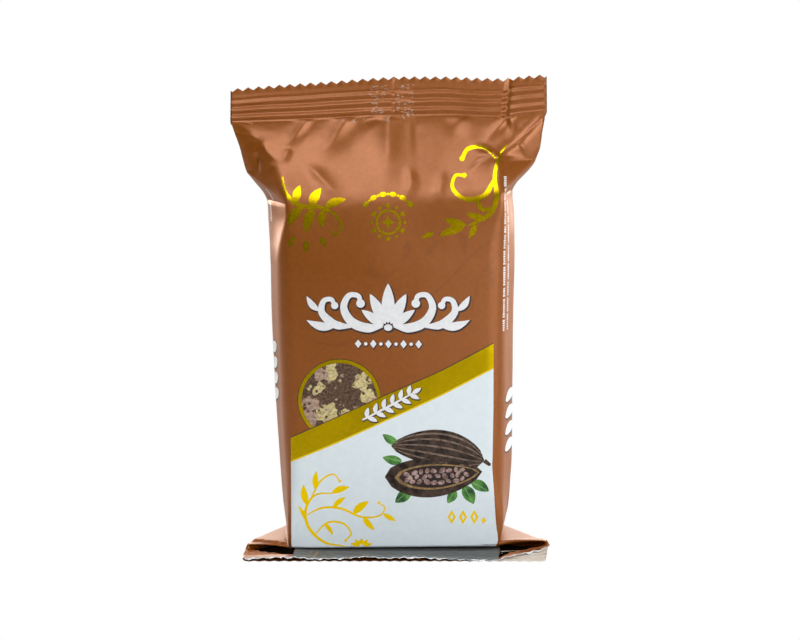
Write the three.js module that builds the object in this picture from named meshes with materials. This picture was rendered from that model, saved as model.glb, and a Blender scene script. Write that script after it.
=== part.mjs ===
// A flow-wrapped block of sunflower halva, standing on its folded bottom seal.
// The wrapper is one tube of film round the block: crimped flat and cut in a zigzag at both ends,
// with a lapped seam down the back. The front faces -Y, and +Z is up. All sizes are in millimetres.
import * as THREE from 'three';

// The tube of film
const flatHalf = 45.6; // half-width of the tube when pressed flat
const filmStack = 0.5; // thickness modelled for the two layers of a seal

// The wrapped block: half-widths of its outline by height, up to the top seal's foot
const blockOutline = [
  [2.2, 31.6],
  [5, 32.0],
  [15, 32.9],
  [28, 33.9],
  [45, 34.6],
  [68, 35.1],
  [90, 35.6],
  [99, 35.5],
];
const shoulderOutline = [
  [102, 35.1],
  [104.5, 35.8],
  [107, 38.2],
  [109.7, 40.8],
  [112.5, 42.2],
  [116, 43.3],
  [120, 44.3],
  [123.2, 45.1],
];
const shoulderFoot = 101;
const depthAtTop = 25.5;
const depthAtFoot = 28.0;
const frontBulge = 0.6;
const cornerAtTop = 6.0; // rounding of the block's upright edges
const cornerAtFoot = 2.5;
const shoulderBulge = 0.3; // share of a quarter round in the shoulder's straight slope

// The end seals
const toothPitch = 3.0;
const toothDepth = 0.9;
const teeth = 30;
const sealMargin = 2.7; // plain film between the cut edge and the first crimp
const crimpPitch = 2.5;
const crimpCount = 3;
const crimpHeight = 0.42;
const sealLength = sealMargin + crimpPitch * crimpCount;

// The top seal stands above the block, and runs a little askew
const topSealFoot = 125.4;
const sealShift = -1.3;
const slope = 0.0446; // rise to the right
const sag = 0.00035; // fall towards both ends

// The bottom seal is folded forward under the block, which leaves an ear at each side
const flapFold = -1.5; // where the front film turns back under the block
const bottomSealFoot = -15.2; // where the crimps start, just ahead of the front face
const bottomHalf = 43.3;
const bottomShift = 1.0;
const underGap = 1.5; // height of the block's front edge over the floor
const foldHalf = 37.2; // half-width of the turned film
const footHalf = 31.0;
const footBack = 11.0; // where the back film leaves the floor
const earFront = -14.2; // the ear's folded front edge
const earRise = 2.2; // height of the ear's upper side
const earLift = 2.4; // how far it climbs the block's side

// The seam down the back
const seamLeft = -7.5;
const seamRight = 0.6;
const seamThickness = 0.5;

// Pleats that run down from the top seal: place at the seal, drift per mm down, half-width, push
const frontPleats = [
  { at: 3, drift: -0.05, width: 3.2, push: 1.5 },
  { at: 12, drift: -0.3, width: 3.0, push: -0.9 },
  { at: -6, drift: -0.55, width: 2.6, push: -1.0 },
  { at: -14, drift: -0.75, width: 2.4, push: 0.9 },
  { at: -24, drift: -0.5, width: 2.4, push: -1.0 },
  { at: -33, drift: 0.25, width: 2.2, push: 1.1 },
  { at: 25, drift: -0.35, width: 2.8, push: 0.8 },
  { at: 34, drift: 0.1, width: 2.2, push: -1.0 },
  { at: 39, drift: -0.5, width: 1.8, push: 0.9 },
];
const backPleats = frontPleats.map(({ at, drift, width, push }) => ({
  at: 4 - at,
  drift: -0.8 * drift,
  width: 1.1 * width,
  push: -0.8 * push,
}));
const pleatDepth = 9; // the pack's depth at which a pleat has its full push

const mix = (a, b, share) => a + (b - a) * share;
const mixPoints = (a, b, share) => a.map((value, axis) => mix(value, b[axis], share));
const distance = (a, b) => Math.hypot(...a.map((value, axis) => value - b[axis]));

function smooth(low, high, value) {
  const share = Math.min(Math.max((value - low) / (high - low), 0), 1);
  return share * share * (3 - 2 * share);
}

// Places round the tube: the front layer from left to right, then the back layer from right to left.
// u runs from -1 to 1 across a layer, with one place at the root and one at the tip of each tooth.
function columns() {
  const reach = (teeth * toothPitch) / 2;
  const front = [];
  for (let step = 0; step <= 2 * teeth; step += 1) {
    front.push({ u: (-reach + (step * toothPitch) / 2) / flatHalf, tip: step % 2, layer: 'front' });
  }
  const back = front.map(({ u, tip }) => ({ u, tip, layer: 'back' }));
  const edgeTip = (flatHalf - reach) / (toothPitch / 2);
  return [
    { u: -1, tip: edgeTip, layer: 'front' },
    ...front,
    { u: 1, tip: edgeTip, layer: 'front' },
    ...back.reverse(),
  ];
}

// A row is one section of the tube. Its front path and its back path run from the centre line
// of a layer to the outermost line at the side, over four points: the centre line, the turn where
// the flat layer ends, a place on the side, and the outermost line. Each inner point is rounded.
const pathParts = ['front', 'back'];

function blend(low, high, share) {
  const row = { centre: mix(low.centre, high.centre, share) };
  for (const part of pathParts) {
    row[part] = low[part].map((point, index) => mixPoints(point, high[part][index], share));
  }
  row.cuts = mixPoints(low.cuts, high.cuts, share);
  return row;
}

// A layer's path from the centre line [y, z] out to its turn, then to the side's points
const layerPath = (middle, turn, side, edge) => [[0, ...middle], [turn, ...middle], side, edge];

// A plain section: both layers turn at one half-width, and the side between them is straight
function plainRow(front, back, turn, half, cut, centre, sideLift = 0) {
  const [edgeY, edgeZ] = mixPoints(front, back, 0.5);
  const edge = [half, edgeY, edgeZ + sideLift];
  const sidePoint = (middle) => mixPoints([turn, ...middle], edge, 0.5);
  return {
    front: layerPath(front, turn, sidePoint(front), edge),
    back: layerPath(back, turn, sidePoint(back), edge),
    cuts: [cut, 0],
    centre,
  };
}

function sealRow(front, back, half, centre, tooth) {
  return { ...plainRow(front, back, half - 0.1, half, 0.1, centre), tooth };
}

function bottomSealRows() {
  const cut = bottomSealFoot - sealLength;
  const teethWay = [-toothDepth, 0];
  const rows = [sealRow([cut, filmStack], [cut, 0], bottomHalf, bottomShift, teethWay)];
  for (let step = 0; step <= 2 * crimpCount; step += 1) {
    const y = cut + sealMargin + (step * crimpPitch) / 2;
    const ridge = step % 2 ? crimpHeight : 0;
    rows.push(sealRow([y, filmStack + ridge], [y, 0], bottomHalf, bottomShift));
  }
  return rows;
}

// The film between the bottom seal and the block: forward and back again under the front edge,
// and straight along the floor at the back. The sides of the tube make the ears, whose film
// turns forward to a folded front edge, and lies double over the flap.
function underRows() {
  const seal = bottomSealRows().at(-1);
  const foldEdge = [foldHalf + 0.8, flapFold + 0.5, earRise];
  const fold = {
    front: layerPath([flapFold, filmStack], foldHalf, [foldHalf + 1, earFront, 1.3], foldEdge),
    back: layerPath([flapFold + 1.5, 0], foldHalf, [foldHalf + 0.6, flapFold + 1, 0.9], foldEdge),
    cuts: [0.3, 0.5],
    centre: bottomShift,
  };
  const turned = {
    ...fold,
    front: layerPath([flapFold, underGap], foldHalf - 0.8, [foldHalf, earFront, 1.6], foldEdge),
    back: layerPath([flapFold + 2.5, 0], foldHalf, [foldHalf + 0.5, flapFold + 2, 0.9], foldEdge),
  };
  const footEdge = [footHalf + 0.5, 8, earRise];
  const foot = {
    front: layerPath([-13.5, underGap], footHalf - 0.5, [footHalf + 0.4, -12.6, 1.9], footEdge),
    back: layerPath([footBack, 0], footHalf - 0.8, [footHalf + 0.3, footBack, 1.0], footEdge),
    cuts: [0.4, 0.4],
    centre: 0.5,
  };
  const middle = blend(fold, turned, 0.5);
  middle.front[0][1] += 0.7;
  middle.front[1][1] += 0.7;
  const nearSeal = blend(seal, fold, 0.45);
  nearSeal.front[2][2] += 0.4;
  nearSeal.front[3][2] += 0.4;
  return [
    nearSeal,
    blend(seal, fold, 0.8),
    fold,
    middle,
    turned,
    blend(turned, foot, 0.35),
    blend(turned, foot, 0.7),
    foot,
  ];
}

function blockRows() {
  return blockOutline.map(([z, half]) => {
    const up = z / shoulderFoot;
    const depth = mix(depthAtFoot, depthAtTop, up);
    const bulge = frontBulge * Math.sin(Math.PI * up);
    const backRound = 1.6 * (1 - smooth(0, 5, z));
    const cut = mix(cornerAtFoot, cornerAtTop, smooth(0, 40, z));
    const front = [-depth / 2 - bulge, z];
    const back = [depth / 2 + bulge - backRound, z - 0.6 * backRound];
    const sideLift = earLift * (1 - smooth(1, 9, z));
    return plainRow(front, back, half, half, cut, mix(0.5, 0, smooth(0, 60, z)), sideLift);
  });
}

// In the shoulder the depth closes to nothing while the layers widen to their flat width.
// What a layer is narrower by goes into its slanting side, which keeps the film's length round.
function shoulderRows() {
  const rise = topSealFoot - shoulderFoot;
  return shoulderOutline.map(([z, half]) => {
    const up = (z - shoulderFoot) / rise;
    const round = 1 - Math.sqrt(1 - up * up);
    const halfDepth = mix(depthAtTop / 2, filmStack / 2, mix(up, round, shoulderBulge));
    const lean = 2 * Math.atan2(flatHalf - half, halfDepth);
    const slanting = flatHalf - halfDepth / Math.sin(lean);
    const turn = mix(half, Math.min(slanting, half), smooth(0, 0.25, up));
    const cut = mix(cornerAtTop, 2, up);
    return plainRow([-halfDepth, z], [halfDepth, z], turn, half, cut, sealShift * up * up);
  });
}

function topSealRows() {
  const rows = [];
  const middle = filmStack / 2;
  for (let step = 0; step <= 2 * crimpCount; step += 1) {
    const z = topSealFoot + (step * crimpPitch) / 2;
    const ridge = step % 2 ? crimpHeight : 0;
    rows.push(sealRow([-middle - ridge, z], [middle - ridge, z], flatHalf, sealShift));
  }
  const cut = topSealFoot + sealLength;
  rows.push(sealRow([-middle, cut], [middle, cut], flatHalf, sealShift, [0, toothDepth]));
  return rows;
}

// The point at a share of the way along a path of points whose inner corners are rounded
function alongPath(points, cuts, share) {
  const reach = cuts.map((cut, index) => {
    const before = distance(points[index], points[index + 1]);
    const after = distance(points[index + 1], points[index + 2]);
    return Math.min(cut, 0.49 * before, 0.49 * after);
  });
  const pieces = [];
  let from = points[0];
  reach.forEach((cut, index) => {
    const corner = points[index + 1];
    const next = points[index + 2];
    const into = mixPoints(corner, points[index], cut / distance(corner, points[index]));
    const out = mixPoints(corner, next, cut / distance(corner, next));
    pieces.push({ from, to: into, length: distance(from, into) });
    pieces.push({ from: into, corner, to: out, length: (distance(into, out) + 4 * cut) / 3 });
    from = out;
  });
  const end = points.at(-1);
  pieces.push({ from, to: end, length: distance(from, end) });
  let left = share * pieces.reduce((sum, { length }) => sum + length, 0);
  const last = pieces.at(-1);
  const piece = pieces.find(({ length }) => {
    if (left <= length) return true;
    left -= length;
    return false;
  }) ?? last;
  const at = piece.length > 0 ? Math.min(left / piece.length, 1) : 1;
  if (!piece.corner) return mixPoints(piece.from, piece.to, share === 1 ? 1 : at);
  const { corner } = piece;
  return mixPoints(mixPoints(piece.from, corner, at), mixPoints(corner, piece.to, at), at);
}

// How far the pleats push the film in, at x across the pack and so far below the top seal
function pleated(x, below, pleats) {
  return pleats.reduce((sum, { at, drift, width, push }) => {
    const off = (x - at - drift * below) / width;
    return sum + push * Math.exp(-off * off);
  }, 0);
}

function place(row, { u, tip, layer }) {
  const isFront = layer === 'front';
  const path = row[layer];
  const across = Math.abs(u);
  const [reachX, pathY, pathZ] = across === 1 ? path.at(-1) : alongPath(path, row.cuts, across);
  const x = row.centre + Math.sign(u) * reachX;
  let y = pathY;
  let z = pathZ;

  const below = topSealFoot - z;
  const depth = row.back[0][1] - row.front[0][1];
  const turn = path[1][0];
  const onSlope = smooth(0, 2, below) * (1 - smooth(20, 30, below));
  const onFace = 1 - smooth(turn - 4, turn + 1, reachX);
  const hold = onSlope * onFace * Math.min(depth / pleatDepth, 1);
  y += hold * pleated(x, below, isFront ? frontPleats : backPleats) * (isFront ? 1 : -1);

  const onSeam = x > seamLeft && x < seamRight && below > 0 && z > 2.2;
  if (!isFront && onSeam) y += seamThickness;

  if (row.tooth) {
    y += row.tooth[0] * tip;
    z += row.tooth[1] * tip;
  }
  z += smooth(45, shoulderFoot, z) * (0.3 + slope * x - sag * x * x);
  return [x, y, z];
}

// Two triangles for each four-sided patch, without any that has no area
function addPatch(triangles, a, b, c, d) {
  if (a !== b && b !== c) triangles.push(a, b, c);
  if (c !== d && d !== a) triangles.push(a, c, d);
}

// Puts the middle of the base at the origin
function standAtOrigin(geometry) {
  geometry.computeBoundingBox();
  const { min, max } = geometry.boundingBox;
  geometry.translate(-(min.x + max.x) / 2, -(min.y + max.y) / 2, -min.z);
}

function filmGeometry() {
  const rows = [
    ...bottomSealRows(),
    ...underRows(),
    ...blockRows(),
    ...shoulderRows(),
    ...topSealRows(),
  ];
  const round = columns();
  const count = round.length;
  const positions = rows.flatMap((row) => round.flatMap((column) => place(row, column)));
  const triangles = [];
  for (let row = 0; row + 1 < rows.length; row += 1) {
    const low = row * count;
    for (let column = 0; column < count; column += 1) {
      const next = (column + 1) % count;
      addPatch(triangles, low + column, low + next, low + count + next, low + count + column);
    }
  }
  // A strip closes each cut edge, from the front layer to the back one.
  const last = (rows.length - 1) * count;
  for (let column = 0; column < count / 2; column += 1) {
    const across = (count - column) % count;
    const nextAcross = count - column - 1;
    addPatch(triangles, column, across, nextAcross, column + 1);
    addPatch(triangles, last + column, last + column + 1, last + nextAcross, last + across);
  }
  const geometry = new THREE.BufferGeometry();
  geometry.setAttribute('position', new THREE.Float32BufferAttribute(positions, 3));
  geometry.setIndex(triangles);
  standAtOrigin(geometry);
  geometry.computeVertexNormals();
  return geometry;
}

const printedFilm = new THREE.MeshStandardMaterial({
  color: 0xa2602f,
  roughness: 0.38,
  metalness: 0.1,
});

const pack = new THREE.Mesh(filmGeometry(), printedFilm);
pack.name = 'pack';

const object = new THREE.Group();
object.add(pack);

export default object;
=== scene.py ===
import math

import bpy
import numpy as np
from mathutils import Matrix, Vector
from mathutils.bvhtree import BVHTree
from mathutils.geometry import delaunay_2d_cdt
from mathutils.kdtree import KDTree


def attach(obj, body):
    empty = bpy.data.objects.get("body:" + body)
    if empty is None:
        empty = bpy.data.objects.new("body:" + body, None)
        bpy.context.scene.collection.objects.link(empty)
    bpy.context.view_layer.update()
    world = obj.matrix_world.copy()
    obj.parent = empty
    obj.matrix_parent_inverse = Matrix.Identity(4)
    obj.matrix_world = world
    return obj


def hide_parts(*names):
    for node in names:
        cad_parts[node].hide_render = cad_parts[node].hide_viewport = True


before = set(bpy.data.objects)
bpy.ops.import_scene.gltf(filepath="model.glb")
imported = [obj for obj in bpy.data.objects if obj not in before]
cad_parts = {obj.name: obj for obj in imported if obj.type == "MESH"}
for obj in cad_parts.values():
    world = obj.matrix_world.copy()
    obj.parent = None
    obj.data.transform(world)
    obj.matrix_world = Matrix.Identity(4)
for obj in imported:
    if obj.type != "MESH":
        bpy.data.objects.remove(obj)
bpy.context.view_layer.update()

print("frame loaded")

# All shapes are worked out in millimetres, with the pack's own centre line at x = 0
# and the middle of the block at y = 0, then moved onto the frame and turned into metres.
toFrame = np.array([1.3, 5.844, 0.0])
metres = 0.001


def mix(a, b, share):
    return a + (b - a) * share


def smooth(low, high, value):
    share = np.clip((np.asarray(value, float) - low) / (high - low), 0, 1)
    return share * share * (3 - 2 * share)


# A smooth curve through a few [place, value] pairs that never overshoots them
def through(pairs, value):
    xs, ys = np.array(pairs, float).T
    step = np.diff(xs)
    rise = np.diff(ys) / step
    slope = np.zeros(len(xs))
    same = rise[:-1] * rise[1:] > 0
    inner = np.zeros(len(rise) - 1)
    inner[same] = 2 / (1 / rise[:-1][same] + 1 / rise[1:][same])
    slope[1:-1] = inner
    slope[0], slope[-1] = rise[0], rise[-1]
    value = np.clip(np.asarray(value, float), xs[0], xs[-1])
    at = np.clip(np.searchsorted(xs, value) - 1, 0, len(step) - 1)
    h = step[at]
    q = (value - xs[at]) / h
    return (ys[at] * (1 + 2 * q) * (1 - q) ** 2 + slope[at] * h * q * (1 - q) ** 2
            + ys[at + 1] * q * q * (3 - 2 * q) + slope[at + 1] * h * q * q * (q - 1))


# The tube of film
film = {
    "flatHalf": 45.6,  # half-width of the tube pressed flat
    "frontStep": 0.5,  # mesh step across the front layer
    "backStep": 0.75,
    "layerGap": 0.16,  # between the two layers in a seal
    "sealLength": 10.2,
    "toothPitch": 3.0,
    "toothDepth": 0.95,
    "crimpPitch": 2.3,
    "crimpFirst": 1.72,  # height of the first ridge over the seal's foot
    "crimpCount": 3,
    "crimpHeight": 0.29,
    "lean": 0.3,  # the top seal leans back
    "finDent": 0.7,  # upright dent across the top seal
    "finDentAt": 32.4,
    "flapStep": 0.16,  # where the seam's flap lies inside the top seal
    "footRidge": 0.14,  # thin raised line at the seal's foot
}

# The bar in the film, and the shoulder where the film closes over it
block = {
    "height": 101.0,
    "topDepth": 25.5,
    "footDepth": 27.4,
    "frontBulge": 2.3,
    "shoulderFoot": 98.6,
    "sealFoot": 125.4,
    "edgeRound": 0.30,  # share of the shoulder over which its slope sets in
    "closing": 1.3,  # above 1 the shoulder runs more upright towards the seal
    "footTilt": 0.012,
}

# One side of the pack by height: the outline of the block, the corner where its shoulder
# starts, the ear's tip, the outline above it, and the ridge between shoulder and ear.
sides = {
    "left": {
        "sign": -1,
        "outline": [(1, 31.3), (5, 31.5), (12, 32.3), (21, 33.1), (30, 33.7), (42, 34.3), (60, 34.9),
                    (72, 35.3), (83, 35.6), (89, 35.8), (96, 36.1), (101, 36.3), (104, 36.4)],
        "corner": 30.2,
        "cornerInset": 3.0,
        "tip": (42.3, 109.9),
        "earOutline": [(109.9, 42.3), (112, 43.0), (117.8, 44.2), (121.5, 45.4), (125.4, 46.9)],
        "gusset": [(100, 36.25), (101, 36.35), (103.5, 37.3), (107, 40.0), (109.9, 42.35)],
        "ridge": [(101, 30.2), (107, 31.8), (112.9, 33.8), (119.5, 37.0), (122.7, 41.5), (125.4, 46.8)],
        "sealHalf": (42.8, 43.1),  # at the bottom seal's foot and cut edge
        "earRise": 2.4,
    },
    "right": {
        "sign": 1,
        "outline": [(1, 31.6), (5, 32.6), (9, 33.5), (15, 34.1), (24, 34.7), (42, 34.8), (63, 35.0),
                    (78, 35.1), (89, 35.1), (96, 34.7), (100, 34.4), (102, 34.4)],
        "corner": 31.6,
        "cornerInset": 3.8,
        "tip": (41.2, 110.8),
        "earOutline": [(110.8, 41.2), (114.8, 42.5), (120.2, 43.2), (125.4, 44.3)],
        "gusset": [(100, 34.4), (101, 34.5), (103.4, 35.6), (107, 38.7), (109.6, 40.7), (110.8, 41.25)],
        "ridge": [(101, 31.6), (107, 30.9), (112.6, 30.2), (115.4, 33.2), (117.6, 36.0), (121.5, 40.2),
                  (125.4, 44.2)],
        "sealHalf": (45.4, 44.0),
        "earRise": 2.9,
    },
}

# How far the block's top edge, the top seal's foot and its cut edge run askew
askew = {
    "blockEdge": [(-40, -0.3), (-30, -0.5), (-15, -0.9), (0, -1.0), (12, -0.8), (22, 0.6), (32, 2.8),
                  (40, 2.9)],
    "sealFoot": [(-46.8, 123.2), (-35.5, 123.5), (-15.3, 124.35), (-3.8, 124.95), (2, 125.15),
                 (16.4, 125.15), (32.2, 124.65), (36.6, 125.25), (44.4, 126.4)],
    "cutEdge": [(-46.9, 131.9), (-32.5, 133.1), (-18.1, 134.1), (-3.7, 135.2), (2, 135.5),
                (13.5, 135.5), (25, 135.1), (32.2, 134.95), (36.5, 135.5), (44.3, 136.1)],
}

# The bottom seal, folded forward under the block, with its two side ears
foot = {
    "foldBack": -1.5,  # where the front film turns back under the block
    "sealFoot": -15.2,
    "underGap": 1.0,
    "earFront": -17.2,  # crease along the front of an ear
    "earUnder": -12.0,  # how far the ear's underside slants back
    "earTip": {"left": (41.4, 3.2), "right": (43.8, 3.2)},  # out from the middle, height
    "back": 11.0,
    "width": 30.8,
    # height of the seal's foot and of the front layer's cut edge, and how far that edge draws back
    "sealRise": [(-43, 1.5), (-40, 0.8), (-36, 0.3), (-29, 0.15), (0, 0.1), (29, 0.15), (37, 0.3), (42, 0.9),
                 (45, 1.5)],
    "edgeRise": [(-44, 0.7), (-30, 1.2), (-22, 0.7), (-14, 0.8), (-8, 1.3), (-2, 0.9), (5, 1.1),
                 (14, 0.7), (22, 0.35), (30, 0.3), (34, 0.7), (39, 1.0), (45, 1.2)],
    "edgeBack": [(-44, 0), (26, 0), (29, -0.6), (32, 2.2), (36, 4.0), (40, 6.8), (45, 9.3)],
}


# Points at shares of the way along a path of points whose inner corners are rounded
def alongPath(points, cuts, shares):
    line = [points[0]]
    for index, cut in enumerate(cuts):
        corner = points[index + 1]
        before = points[index] - corner
        after = points[index + 2] - corner
        longBefore = np.linalg.norm(before) + 1e-9
        longAfter = np.linalg.norm(after) + 1e-9
        reach = min(cut, 0.49 * longBefore, 0.49 * longAfter)
        start = corner + before * reach / longBefore
        end = corner + after * reach / longAfter
        for turn in np.linspace(0, 1, 9):
            line.append(start * (1 - turn) ** 2 + 2 * corner * turn * (1 - turn) + end * turn * turn)
    line.append(points[-1])
    line = np.array(line)
    length = np.concatenate([[0], np.cumsum(np.linalg.norm(np.diff(line, axis=0), axis=1))])
    at = shares * length[-1]
    return np.stack([np.interp(at, length, line[:, axis]) for axis in range(3)], 1)


# A row is one section of the tube. For each side it has a path of five points for the front
# layer and one for the back layer, from the centre line out to the side's outermost line.
def sidePaths(side, front, back, cuts):
    sign = sides[side]["sign"]
    paths = {}
    for layer, points in (("front", front), ("back", back)):
        path = np.array(points, float)
        path[1:, 0] *= sign
        paths[layer] = path
    paths["cuts"] = np.array(cuts, float)
    return paths


def blendRows(low, high, share):
    return {side: {key: mix(low[side][key], high[side][key], share) for key in low[side]} for side in low}


def halfDepth(z):
    depth = mix(block["footDepth"], block["topDepth"], min(z, block["height"]) / block["height"]) / 2
    up = (z - block["shoulderFoot"]) / (block["sealFoot"] - block["shoulderFoot"])
    if up <= 0:
        return depth
    soft = block["edgeRound"]
    run = up * up / (2 * soft) if up < soft else up - soft / 2
    run /= 1 - soft / 2
    closing = 1 - (1 - run) ** block["closing"]
    return mix(depth, film["layerGap"] / 2, closing)


def centreAt(z):
    return mix(0.5, 0.0, float(smooth(0, 60, z))) - 1.3 * float(smooth(98, 125.4, z))


def bodySide(side, z):
    shape = sides[side]
    deep = halfDepth(z)
    outline = float(through(shape["outline"], z))
    square = float(smooth(84, 98.5, z))  # towards the top the round corner turns into a fold
    low = 1 - float(smooth(1, 9, z))
    lift = shape["earRise"] * low
    inset = mix(0.9, shape["cornerInset"], float(smooth(1, 26, z)))
    cornerX = mix(outline - inset, shape["corner"], square)
    backRound = 1.6 * (1 - float(smooth(0, 5, z)))
    rounding = mix(mix(1.0, 5.5, float(smooth(2, 34, z))), 0.8, square)
    sideY = mix(-3.0, -4.2, square)
    sideX = mix(outline, outline - 0.6, square)
    front = [(centreAt(z), -deep, z), (cornerX - mix(8.0, 3.0, square), -deep, z), (cornerX, -deep, z),
             (sideX, sideY, z + lift * 0.5), (outline, 0, z + lift)]
    back = [(centreAt(z), deep - backRound, z - 0.5 * backRound),
            (outline - 8, deep - backRound, z - 0.5 * backRound),
            (outline - 0.1, deep - backRound, z - 0.5 * backRound),
            (outline, deep * 0.5, z + lift * 0.4), (outline, 0, z + lift)]
    return sidePaths(side, front, back, [1.0, rounding, 2.0])


def shoulderSide(side, z):
    shape = sides[side]
    deep = halfDepth(z)
    tipX, tipZ = shape["tip"]
    deepAtFoot = halfDepth(block["height"])
    share = min((z - block["height"]) / (tipZ - block["height"]), 1)
    ridgeX = float(through(shape["ridge"], z))
    if share < 1:
        foldX = mix(shape["corner"], tipX, share ** 1.2)
        foldY = mix(-deepAtFoot, -0.35, share)
        edge = max(float(through(shape["gusset"], z)), foldX + 0.1)
        middle = (mix(foldX, edge, 0.5), foldY / 2)
    else:
        edge = float(through(shape["earOutline"], z))
        thin = mix(-0.35, -film["layerGap"] / 2, (z - tipZ) / (block["sealFoot"] - tipZ))
        foldX, foldY = edge - 0.3, thin
        middle = (edge - 0.1, thin * 0.6)
    ridgeX = min(ridgeX, foldX - 0.4)
    front = [(centreAt(z), -deep, z), (ridgeX, -deep, z), (foldX, foldY, z), (*middle, z), (edge, 0, z)]
    back = [(centreAt(z), deep, z), (ridgeX, deep, z), (foldX, -foldY, z), (middle[0], -middle[1], z),
            (edge, 0, z)]
    open = float(smooth(block["height"], block["height"] + 4, z))
    return sidePaths(side, front, back, [mix(1.0, 2.2, open), 0.7, 0.5])


def sealSide(side, share):
    shape = sides[side]
    z = block["sealFoot"] + film["sealLength"] * share
    gap = film["layerGap"] / 2
    edge = float(through(shape["earOutline"], block["sealFoot"]))
    xs = [centreAt(block["sealFoot"]), edge * 0.5, edge - 2, edge - 0.1, edge]
    back = film["lean"] * film["sealLength"] * (share - 0.15 * (1 - (1 - share) ** 4))
    return sidePaths(side, [(x, back - gap * (x < edge), z) for x in xs],
                     [(x, back + gap * (x < edge), z) for x in xs], [0.1, 0.1, 0.05])


# The bottom seal lies in front of the block: share 0 is its foot and share 1 its cut edge.
def bottomSealSide(side, share):
    shape = sides[side]
    y = foot["sealFoot"] - film["sealLength"] * share
    edge = mix(*shape["sealHalf"], share)
    xs = [0.5, edge * 0.5, edge - 3, edge - 0.1, edge]
    sign = shape["sign"]
    heights = [float(through(foot["sealRise"], x * sign if index else x)) * (1 - share) + 0.02
               for index, x in enumerate(xs)]
    gap = film["layerGap"]
    front = [(x, y, rise + gap * (x < edge)) for x, rise in zip(xs, heights)]
    back = [(x, y, rise) for x, rise in zip(xs, heights)]
    return sidePaths(side, front, back, [0.1, 0.1, 0.05])


# The film turned back under the block, before and after it turns over
def foldedSide(side, turned):
    fold, gap, under = foot["foldBack"], film["layerGap"], foot["underGap"]
    tip, rise = foot["earTip"][side]
    y = foot["earFront"]
    edge = (tip + 0.7, y + 2.4, rise - 0.2)
    if turned:
        front = [(0.8, fold, under), (30.5, fold, under), (tip - 0.6, foot["earUnder"], rise - 0.9),
                 (tip, y, rise), edge]
        back = [(0.8, fold + 2.5, 0), (31, fold + 2.5, 0), (tip, y + 5, rise - 1.6),
                (tip + 0.4, y + 4, rise - 0.9), edge]
    else:
        front = [(0.8, fold, gap), (30.5, fold, gap), (tip, y + 2.6, 0.9),
                 (tip + 0.3, y + 2.4, rise - 0.9), edge]
        back = [(0.8, fold + 1.5, 0), (31, fold + 1.5, 0), (tip + 0.1, y + 3.4, 0.5),
                (tip + 0.4, y + 3.2, rise - 1.2), edge]
    return sidePaths(side, front, back, [0.3, 0.35, 0.8])


def blockFootSide(side):
    shape = sides[side]
    width, under = foot["width"], foot["underGap"]
    rise = shape["earRise"]
    deep = block["footDepth"] / 2
    front = [(0.5, -deep + 0.4, under), (width - 0.4, -deep + 0.4, under), (width + 0.1, -deep + 0.5, 1.1),
             (width + 0.5, -deep + 0.9, rise - 0.5), (width + 0.8, 8.5, rise)]
    back = [(0.5, foot["back"], 0), (width - 0.8, foot["back"], 0), (width, foot["back"], 0.4),
            (width + 0.5, foot["back"], 1.0), (width + 0.8, 8.5, rise)]
    return sidePaths(side, front, back, [0.4, 0.4, 0.6])


def bothSides(make, *details):
    return {side: make(side, *details) for side in sides}


# Every row of the tube from one cut edge to the other, with the part it belongs to and how far
# it lies along the front film, counted so that it is the height on the block's front
def allRows():
    rows = [("bottomSeal", bothSides(bottomSealSide, share)) for share in np.linspace(1, 0, 35)]
    seal = bothSides(bottomSealSide, 0.0)
    folded = bothSides(foldedSide, False)
    turned = bothSides(foldedSide, True)
    atFoot = bothSides(blockFootSide)
    for share in np.linspace(0.05, 1, 20):
        row = blendRows(seal, folded, share)
        puff = math.sin(math.pi * min(share, 0.92))
        for side in sides:
            row[side]["front"][2:4, 2] += 0.12 * puff
            row[side]["front"][4, 2] += 0.05 * puff
            row[side]["back"][4, 2] += 0.05 * puff
        rows.append(("under", row))
    for share in np.linspace(0.12, 0.88, 5):
        row = blendRows(folded, turned, share)
        for side in sides:
            row[side]["front"][0:2, 1] += math.sin(math.pi * share) * foot["underGap"] / 2
        rows.append(("under", row))
    rows += [("under", blendRows(turned, atFoot, share)) for share in np.linspace(0, 1, 20)]
    rows += [("block", bothSides(bodySide, z)) for z in [1.35, 1.7, 2.1, 2.6, 3.2, *np.linspace(4, 84, 81)]]
    rows += [("block", bothSides(bodySide, z)) for z in np.linspace(84.6, block["height"], 28)]
    rows += [("shoulder", bothSides(shoulderSide, z))
             for z in np.linspace(block["height"], block["sealFoot"], 62)[1:]]
    rows += [("topSeal", bothSides(sealSide, share)) for share in np.linspace(0, 1, 41)[1:]]
    middle = np.array([row["left"]["front"][0] for _, row in rows])
    along = np.concatenate([[0], np.cumsum(np.linalg.norm(np.diff(middle, axis=0), axis=1))])
    start = [part for part, _ in rows].index("block") + 2
    return rows, along - along[start] + middle[start, 2]


def columnPlaces(step):
    reach = 15 * film["toothPitch"]
    inner = np.arange(-reach, reach + step / 2, step)
    return np.concatenate([[-film["flatHalf"]], inner, [film["flatHalf"]]])


def layerGrid(rows, layer, places):
    shares = np.abs(places) / film["flatHalf"]
    toLeft = places < 0
    grid = np.empty((len(rows), len(places), 3))
    for index, (_, row) in enumerate(rows):
        for side, columns in (("left", toLeft), ("right", ~toLeft)):
            paths = row[side]
            grid[index, columns] = alongPath(paths[layer], paths["cuts"], shares[columns])
    return grid


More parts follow.
